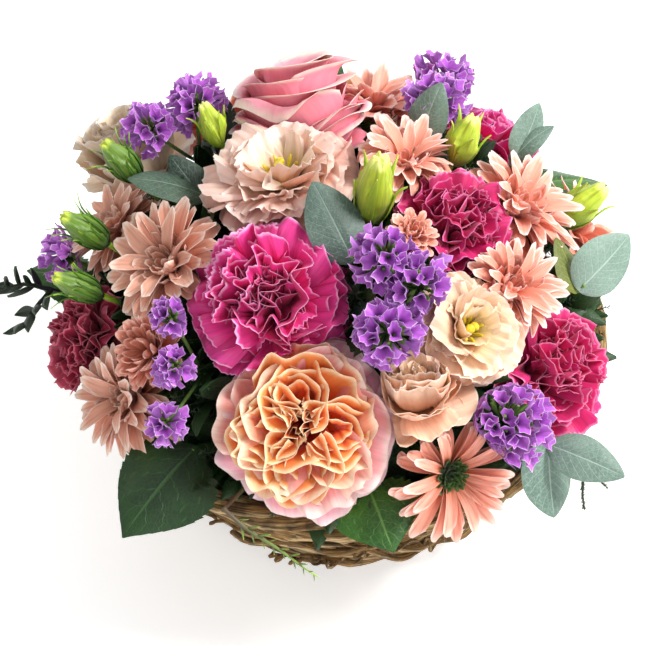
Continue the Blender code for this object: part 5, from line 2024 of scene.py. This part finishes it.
@dataclass
class Filler:
    """Small leaves and ferny plumes that close the gaps between the flowers, over the foam."""

    seed: int = 5
    leaf_tries: int = 1150
    leaf_sizes: tuple[float, float] = (19, 30)
    plume_tries: int = 480
    plume_sizes: tuple[float, float] = (18, 27)
    needles: int = 28
    deep: float = 34.0
    overlap: float = 0.86

    def leaf(self) -> Tissue:
        """Makes one pointed leaf.

        Returns:
            The leaf, a unit long, along +X.
        """
        tissue = Tissue()
        tissue.sheet(leaflet(4, 6, 0.24, (0.03, 0.95), 0.48, 0.08), 0.035 / MM)
        return tissue

    def plume(self) -> Tissue:
        """Makes one feathery plume of needles.

        Returns:
            The plume, a unit long, along +X.
        """
        tissue, dice = Tissue(), random.Random(self.seed)
        tissue.tube(np.linspace(0, 1, 3)[:, None] * (1.0, 0, 0), np.array((0.022, 0.016, 0.006)) / MM, 3)
        for k in range(self.needles):
            share = 0.12 + 0.86 * k / self.needles
            turn = k * GOLDEN_ANGLE
            tip = np.array((dice.uniform(0.1, 0.22), 0.26 * math.cos(turn), 0.26 * math.sin(turn)))
            start = np.array((share, 0.0, 0.0))
            tissue.tube(line(start, start + tip * (1.15 - share), 2), np.array((0.014, 0.006)) / MM, 3)
        return tissue

    def spots(self, tries: int, sizes: tuple[float, float], lean: float, dice: random.Random) -> list[tuple]:
        """Places where no head stands.

        Args:
            tries: How many places over the dome are tried.
            sizes: Least and greatest length, in millimetres.
            lean: How far they may lean away from the dome's own outward direction.
            dice: The random draws.

        Returns:
            The seat, the way and the size in metres of each.
        """
        balls = [(spot, radius * self.overlap) for group in Plant.BALLS.values() for spot, radius in group]
        spots = []
        for k in range(tries):
            polar = math.degrees(math.acos(1 - 0.98 * (k + 0.5) / tries))
            seat = dome_point(math.degrees(k * GOLDEN_ANGLE), polar, -self.deep + dice.uniform(-5, 6))
            way = unit(unit(seat - STEM_FOCUS) + lean * np.array([dice.uniform(-1, 1) for _ in range(3)]))
            size = dice.uniform(*sizes) * MM
            points = [seat + way * size * share for share in (0, 0.5, 1)]
            if all(np.linalg.norm(p - spot) > radius for p in points for spot, radius in balls):
                spots.append((seat, way, size))
        return spots

    def build(self) -> None:
        """Makes the leaves and the plumes by the scatter tree."""
        dice = random.Random(self.seed)
        spots = self.spots(self.leaf_tries, self.leaf_sizes, 0.5, dice)
        # Painted shade: the filler leaves and plumes take near-black greens that stand for the shade deep in
        # the gaps.
        mesh = strew("filler_leaves", self.leaf(), spots, SHADE_LEAF, self.seed, 0.8)
        piece("filler_leaves", mesh, SHADE_LEAF, "leaf")
        spots = self.spots(self.plume_tries, self.plume_sizes, 0.3, dice)
        mesh = strew("filler_plumes", self.plume(), spots, DARK_FERN, self.seed, 3.0)
        piece("filler_plumes", mesh, DARK_FERN, "fern")


# ---- basket and filling ----
Vine = tuple[Array, Any, bool]


def smooth_path(knots: Array, count: int) -> Array:
    """Points along a smooth curve.

    Args:
        knots: Points that it goes through.
        count: How many points come out.

    Returns:
        The points.
    """
    padded = np.concatenate((2 * knots[:1] - knots[1:2], knots, 2 * knots[-1:] - knots[-2:-1]))
    where = np.linspace(0, len(knots) - 1, count)
    index = np.minimum(where.astype(int), len(knots) - 2)
    t = (where - index)[:, None]
    a, b, c, d = (padded[index + k] for k in range(4))
    return 0.5 * (2 * b + (c - a) * t + (2 * a - 5 * b + 4 * c - d) * t**2 + (3 * b - a - 3 * c + d) * t**3)


@dataclass
class Basket:
    """The round basket: a coiled base, a wall of wound vines, a twisted rim and loose ends.

    Curls gives the azimuth and height of chosen tendrils, and loose the azimuths, the heights and the
    seed of each vine that wanders over the wall.
    """

    seed: int = 4
    sides: int = 8
    wall_vines: int = 42
    rim_vines: int = 12
    inner_vines: int = 3
    tendrils: int = 24

    CURLS: ClassVar[list[tuple[float, float]]] = [
        (-102, 17), (-96, 24), (-110, 30), (-84, 20), (-74, 36), (-92, 44),
    ]
    LOOSE: ClassVar[list[tuple[float, float, float, float, int]]] = [
        (-125, -60, 24, 52, 1), (-85, -20, 42, 18, 2), (60, 140, 30, 58, 3),
    ]
    LOOSE_KNOTS: ClassVar[int] = 7
    LOOSE_OUT: ClassVar[float] = 84.0
    LOOSE_SLOPE: ClassVar[tuple[float, float]] = (35.0, 91.0)
    LOOSE_OVER: ClassVar[float] = 4.5
    WEAVE_DEPTHS: ClassVar[tuple[float, float]] = (0.5 * MM, 3.0 * MM)
    VINE_SIZES: ClassVar[tuple[float, ...]] = (1.5, 2.2, 3.0, 4.0)

    def __post_init__(self) -> None:
        """Starts the basket's random draws."""
        self.dice = random.Random(self.seed)

    def grow(self, part: str, node: str, gnarl: float, vines: list[Vine]) -> None:
        """Makes one piece of the basket.

        Args:
            part: What the piece is made of.
            node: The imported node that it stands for.
            gnarl: Share of the vines' radius that knots and grooves take.
            vines: Points, radii in metres and whether it closes on itself, for each vine.
        """
        points, edges, thick = [], [], []
        for path, radii, closed in vines:
            first, count = len(points), len(path)
            points += path.tolist()
            thick += np.broadcast_to(radii, count).tolist()
            edges += [(first + i, first + i + 1) for i in range(count - 1)]
            if closed:
                edges.append((first + count - 1, first))
        name = f"{node}_{part}"
        lines = bpy.data.meshes.new(name)
        lines.from_pydata(points, edges, [])
        lines.attributes.new("thick", "FLOAT", "POINT").data.foreach_set("value", np.array(thick))
        mesh = vine_grower().grow(name, BARK, lines, Sides=self.sides, Gnarl=gnarl)
        mesh.shade_smooth()
        piece(name, mesh, BARK, "vine", node)

    @staticmethod
    def wall_radius(height: Array) -> Array:
        """Outer radius of the wall at a height."""
        low, high = BASE_HIGH[2], RIM_LOW[2]
        return BASE_R + (WALL_TOP_R - BASE_R) * np.clip((height - low) / (high - low), 0, 1)

    def wall(self) -> list[Vine]:
        """Winds the vines round the wall, with the loose ones over it and the tendrils.

        Returns:
            All of them.
        """
        vines, dice = [], self.dice
        low, high = BASE_HIGH[2] + 2.5 * MM, RIM_LOW[2] - 1.5 * MM
        for k in range(self.wall_vines):
            around = ring(96) + dice.uniform(0, math.tau)
            thick = dice.choice(self.VINE_SIZES) * dice.uniform(0.9, 1.1) * MM
            a, b, c = (dice.uniform(0, 6) for _ in range(3))
            rise = 3.4 * np.sin(2 * around + a) + 1.8 * np.sin(5 * around + b) + 0.5 * np.sin(13 * around + c)
            wave = 1.3 * np.sin(3 * around + b) + 0.7 * np.sin(8 * around + a) + 0.3 * np.sin(17 * around)
            height = low + (high - low) * (k + 0.5) / self.wall_vines + rise * MM
            height = np.clip(height, low, high)
            depth = self.WEAVE_DEPTHS[k % 2] + thick * 0.5
            out = self.wall_radius(height) - depth + wave * MM
            radii = thick * (1 + 0.2 * np.sin(7 * around + c) + 0.12 * np.sin(19 * around + b))
            vines.append((polar_points(out, around, height), radii, True))
        vines += [(self.loose(*spec), 1.7 * MM, False) for spec in self.LOOSE]
        spots = self.CURLS + [(dice.uniform(-180, 180), dice.uniform(16, 70)) for _ in range(self.tendrils)]
        for azimuth, height in spots:
            path = self.tendril(math.radians(azimuth), height * MM)
            vines.append((path, dice.uniform(0.55, 0.95) * MM, False))
        return vines

    def loose(self, start: float, end: float, low: float, high: float, seed: int) -> Array:
        """A thin vine that wanders over the wall.

        Args:
            start: Its first azimuth.
            end: Its last azimuth.
            low: Height of its ends.
            high: Height of its middle.
            seed: Seed of its own random draws.

        Returns:
            Its points.
        """
        dice, knots, last = random.Random(seed), [], self.LOOSE_KNOTS - 1
        widen, rise = self.LOOSE_SLOPE
        for k in range(self.LOOSE_KNOTS):
            angle = math.radians(start + (end - start) * k / last)
            height = low + (high - low) * math.sin(math.pi * k / last) + dice.uniform(-3, 3)
            over = self.LOOSE_OVER if 0 < k < last and k % 2 else 0.0
            out = self.LOOSE_OUT + widen * height / rise + over + dice.uniform(0, 1.5)
            knots.append((out * math.cos(angle), out * math.sin(angle), height))
        return smooth_path(np.array(knots) * MM, 60)

    def tendril(self, angle: float, height: float) -> Array:
        """A tendril that springs from the wall, runs along it and ends in a small curl.

        Args:
            angle: Its azimuth in radians.
            height: Its height in metres.

        Returns:
            Its points.
        """
        dice, t = self.dice, np.linspace(0, 1, 40)
        run = dice.choice((-1, 1)) * t * dice.uniform(0.12, 0.4)
        loop = np.clip((t - 0.5) / 0.5, 0, 1)
        curl = dice.uniform(2, 4) * MM * np.minimum(loop * 3, 1) * (1 - 0.4 * loop)
        phase = loop * dice.uniform(8, 14)
        rise = height + dice.uniform(-14, 8) * t * MM + curl * np.sin(phase)
        around = angle + run + 0.6 * curl * (np.cos(phase) - 1) / self.wall_radius(height)
        out = self.wall_radius(rise) + (0.5 + 3 * np.sin(math.pi * t) + 1.5 * np.sin(9 * t)) * MM
        return polar_points(out + 0.8 * curl * (1 - np.cos(phase)), around, np.maximum(rise, 3 * MM))

    def rim(self) -> list[Vine]:
        """Twists a bundle of vines round each other along the rim.

        Returns:
            The vines.
        """
        vines, dice, outer = [], self.dice, self.rim_vines - self.inner_vines
        for k in range(self.rim_vines):
            turns = ring(150) + dice.uniform(0, math.tau)
            thick = dice.uniform(1.6, 3.0) * MM
            laps = dice.choice((4, 5, 6, 7)) if k < outer else 3
            turn = laps * turns + math.tau * k / outer
            place = (RIM_HALF - thick - 0.4 * MM) * (1.0 if k < outer else 0.35)
            place = place * (1 + 0.1 * np.sin(5 * turns + k))
            radii = thick * (1 + 0.16 * np.sin(11 * turns + k) + 0.08 * np.sin(29 * turns + k))
            path = polar_points(RIM_R + place * np.cos(turn), turns, RIM_Z + place * np.sin(turn))
            vines.append((path, radii, True))
        return vines

    def base(self) -> list[Vine]:
        """Coils one vine flat from the middle of the base to its edge.

        Returns:
            The vine, as a list of one.
        """
        half = BASE_HIGH[2] / 2
        thick = half * 0.9
        laps = (BASE_R - thick) / (2 * thick)
        turns = np.linspace(0, math.tau * laps, int(laps * 40))
        out = np.maximum(2 * thick * turns / math.tau, 1 * MM)
        return [(polar_points(out, turns, half), thick, False)]

    def build(self) -> None:
        """Makes the wall, the rim and the base."""
        self.grow("vines", "basket_wall", 1.3, self.wall())
        self.grow("vines", "basket_rim", 1.1, self.rim())
        self.grow("coil", "basket_base", 0.2, self.base())


class Filling:
    """The liner and the foam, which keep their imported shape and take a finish."""

    SKINS: ClassVar[dict[str, Finish]] = {"liner": FILM, "foam": FOAM}

    def build(self) -> None:
        """Dresses both."""
        for node, finish in self.SKINS.items():
            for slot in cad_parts[node].material_slots:
                slot.material = finish.material()
            log.info("%s dressed", node)


# ---- the arrangement: node, azimuth, angle from +Z and lift, then each class's own values ----
HEADS = [
    GardenRose("garden_rose", -100, 61, 2, 46, APRICOT, "apricot", 1),
    TallRose("pink_rose", 118, 23, 16, 36, PINK, "pink", 2, lean=(0, 0.28, 0)),
    GardenRose("back_rose", 86, 66, 0, 41, APRICOT, "apricot", 3, 0.65),
    Carnation("magenta_carnation", -121, 36, 6, 40, MAGENTA, "magenta", 4),
    Carnation("crimson_carnation", -22, 28, 3, 31, CRIMSON, "crimson", 5, 0.85),
    Carnation("pink_carnation", -34, 68, 3, 33, CERISE, "magenta", 6, 0.85),
    Carnation("burgundy_carnation", -164, 74, 8, 27, BURGUNDY, "crimson", 7, 0.8),
    Carnation("back_carnation", 46, 60, 0, 36, MAGENTA, "magenta", 8, 0.65),
    Lisianthus("blush_lisianthus", 174, 15, 4, 41, BLUSH, "blush", 9),
    CuppedLisianthus("cream_lisianthus", 153, 60, 10, 33, CREAM, "blush", 10, 0.75, (0, 0, 0.5)),
    Lisianthus("peach_lisianthus", -54, 47, 6, 30, SORBET, "blush", 11, 0.85),
    CuppedLisianthus("open_lisianthus", -72, 58, 2, 28, SORBET, "blush", 12, 0.85, (-0.3, 0.6, 0.45)),
    Chrysanthemum("left_chrysanthemum", -158, 46, 2, 32, SHADED_TAN, "peach", 13),
    Chrysanthemum("upper_left_chrysanthemum", 174, 60, 2, 28, SHADED_TAN, "peach", 14),
    Chrysanthemum("lower_left_chrysanthemum", -145, 74, 0, 31, SHADED_TAN, "peach", 15),
    Chrysanthemum("right_chrysanthemum", -33, 46, 3, 27, PEACH, "peach", 16),
    Chrysanthemum("top_chrysanthemum", 12, 14, 2, 26, PEACH, "peach", 17),
    Chrysanthemum("far_right_chrysanthemum", 0, 43, 2, 31, PEACH, "peach", 18),
    Chrysanthemum("back_chrysanthemum", 122, 62, 0, 34, PEACH, "peach", 19),
    Chrysanthemum("crown_chrysanthemum", 78, 37, -3, 28, PEACH, "peach", 20),
    Chrysanthemum("side_chrysanthemum", 18, 74, 0, 30, PEACH, "peach", 21),
    Button("bronze_chrysanthemum", -141, 59, 10, 20, BRONZE, "peach", 22),
    Button("button_chrysanthemum", -58, 25, 12, 12, BRONZE, "peach", 23),
    Daisy("daisy", -69, 73, 2, 29, STRIPED, "peach", 24),
]
BUDS = [
    Bud("centre_bud", -62, 13, 4, 46, 10.5, 1),
    Bud("upper_right_bud", 17, 27, 4, 28, 9.5, 2),
    Bud("right_bud", 10, 60, 2, 30, 10, 3),
    TuftedBud("left_bud", -172, 54, 18, 28, 8, 4, GREEN_BUD, MOSS_STEM),
    TuftedBud("lower_left_bud", -162, 60, 15, 28, 7.5, 5, GREEN_BUD, MOSS_STEM),
    TuftedBud("top_left_bud", 172, 46, 18, 26, 8, 6, GREEN_BUD, MOSS_STEM),
    Bud("top_bud", 152, 33, 5, 24, 7.5, 7),
]
SPRAYS = [
    Statice("centre_statice", [(-74, 29, 7, 13), (-66, 36, 6, 14), (-79, 43, 6, 14)], 1),
    Statice("top_right_statice", [(48, 31, 3, 13), (58, 44, 4, 14)], 2),
    Statice("top_left_statice", [(156, 46, 12, 12), (143, 41, 8, 13)], 3),
    Statice("right_statice", [(-57, 66, 4, 18)], 4),
    Statice("left_statice", [(-137, 50, 8, 8), (-130, 57, 8, 8), (-127, 67, 8, 8)], 5),
    Statice("far_left_statice", [(178, 70, 5, 13)], 6),
    Statice("back_statice", [(68, 76, 0, 15)], 7),
]
SPRIGS = [
    Sprig("centre_eucalyptus", -87, 25, -10, EUCALYPTUS, [
        Leaf(0, 125, 52, 37, 26, 8), Leaf(18, -71, 98, 29, 17, 6, 40),
    ]),
    Sprig("top_eucalyptus", 39, 24, -8, LIT_SAGE_LEAF, [
        Leaf(0, 48, 30, 29, 19, 8), Leaf(10, 145, 52, 23, 18, 8),
    ]),
    Sprig("left_eucalyptus", 176, 37, -12, SHADED_EUCALYPTUS, [
        Leaf(0, -178, 71, 35, 21, 14), Leaf(5, 136, 59, 28, 17, 10),
    ]),
    Sprig("right_eucalyptus", -19, 58, 5, LIT_SAGE_LEAF, [
        Leaf(1, 40, 62, 32, 27, 10), Leaf(4, 118, 52, 25, 18, 8, 0, OLIVE_LEAF),
    ]),
    Sprig("upper_right_eucalyptus", 21, 45, 0, LIT_SAGE_LEAF, [
        Leaf(0, 60, 47, 26, 17, 6), Leaf(4, 26, 56, 26, 12, 30),
    ]),
    Sprig("low_right_eucalyptus", -48, 75, 8, LIT_SAGE_LEAF, [
        Leaf(0, -28, 92, 34, 20, 18), Leaf(3, -84, 132, 32, 30, -8),
    ]),
    Sprig("top_left_eucalyptus", 138, 43, -10, SHADED_EUCALYPTUS, [
        Leaf(2, 106, 51, 25, 16, 8), Leaf(8, 184, 74, 17, 11, 8),
    ]),
    Sprig("back_eucalyptus", 104, 78, 4, EUCALYPTUS, [
        Leaf(0, 60, 105, 32, 26, 8), Leaf(4, 150, 110, 30, 24, 8),
    ]),
    ToothedSprig("front_leaf", -85, 77, -13, ROSE_LEAF, [Leaf(4, -68, 112, 32, 40, 10)]),
    ToothedSprig("front_left_leaf", -125, 77, -13, SHADE_LEAF, [Leaf(0, -129, 107, 50, 48, 12)]),
    ToothedSprig("left_leaf", 177, 78, -11, ROSE_LEAF, [Leaf(1, 173, 80, 35, 29, 10)]),
    ToothedSprig("back_leaf", 37, 78, -7, ROSE_LEAF, [Leaf(0, 22, 109, 46, 40, 14)]),
    ToothedSprig("crown_leaves", 98, 49, -16, ROSE_LEAF, [
        Leaf(0, 67, 66, 29, 23, 10), Leaf(1, 153, 58, 32, 24, 10),
    ]),
]
FRONDS = [
    Frond("left_frond", -178, 76, 11, Foliage.LEAFLETS, DARK_FERN, [
        Leaf(0, -169, 60, 26, 5, 30), Leaf(1, -130, 104, 25, 5, 10),
    ], 1),
    Frond("low_front_frond", -112, 78, 10, Foliage.NEEDLES, FERN, [Leaf(0, -32, 113, 50, 4, 14)], 2),
    Frond("low_right_frond", -44, 78, 15, Foliage.BRISTLES, DARK_FERN, [
        Leaf(1, -75, 151, 28, 4, 4), Leaf(4, -43, 109, 21, 3, 20),
    ], 3),
]


class Studio:
    """The pale floor, the soft lights and the camera."""

    TARGET: ClassVar[Vector] = Vector((-0.010, 0.0, 0.090))
    DISTANCE: ClassVar[float] = 0.85
    ELEVATION: ClassVar[float] = 48.0
    LENS: ClassVar[float] = 97.1
    FLOOR_SIZE: ClassVar[float] = 12.0
    DAYLIGHT: ClassVar[float] = 0.52
    LAMPS: ClassVar[dict[str, tuple[tuple[float, float, float], float, float]]] = {
        "key": ((0.7, -0.05, 0.95), 0.4, 14.5),
        "front": ((0.35, -1.2, 0.7), 0.9, 4.5),
        "back": ((-0.3, 0.9, 0.9), 0.9, 3.5),
    }

    def build(self) -> None:
        """Sets up the studio."""
        bpy.ops.mesh.primitive_plane_add(size=self.FLOOR_SIZE)
        floor = bpy.context.active_object
        floor.name = "floor"
        floor.data.materials.append(FLOOR.material())
        for name, (place, size, power) in self.LAMPS.items():
            lamp = bpy.data.lights.new(name, "AREA")
            lamp.size, lamp.energy = size, power
            self.stand(name, lamp, Vector(place))
        scene = bpy.context.scene
        scene.world = bpy.data.worlds.new("studio")
        scene.world.use_nodes = True
        sky = scene.world.node_tree.nodes["Background"].inputs
        sky["Color"].default_value = (1.0, 1.0, 1.0, 1.0)
        sky["Strength"].default_value = self.DAYLIGHT
        scene.view_settings.view_transform = "Standard"
        tilt = math.radians(self.ELEVATION)
        back = Vector((0.0, -math.cos(tilt), math.sin(tilt)))
        lens = bpy.data.cameras.new("camera")
        lens.lens = self.LENS
        scene.camera = self.stand("camera", lens, self.TARGET + back * self.DISTANCE)

    def stand(self, name: str, data: Any, place: Vector) -> bpy.types.Object:
        """Sets up a lamp or a camera, turned towards the middle of the arrangement.

        Args:
            name: Its name.
            data: The lamp or the camera.
            place: Where it stands.

        Returns:
            Its object.
        """
        made = linked(name, data)
        made.location = place
        made.rotation_euler = (self.TARGET - place).to_track_quat("-Z", "Y").to_euler()
        return made


def main() -> None:
    """Builds the studio, then every sub-assembly in order, and notes the sizes."""
    logging.basicConfig(level=logging.INFO, format="%(message)s")
    for made in (Studio(), *HEADS, *BUDS, *SPRAYS, *SPRIGS, *FRONDS, Filler(), Basket(), Filling()):
        made.build()


if __name__ == "__main__":
    main()
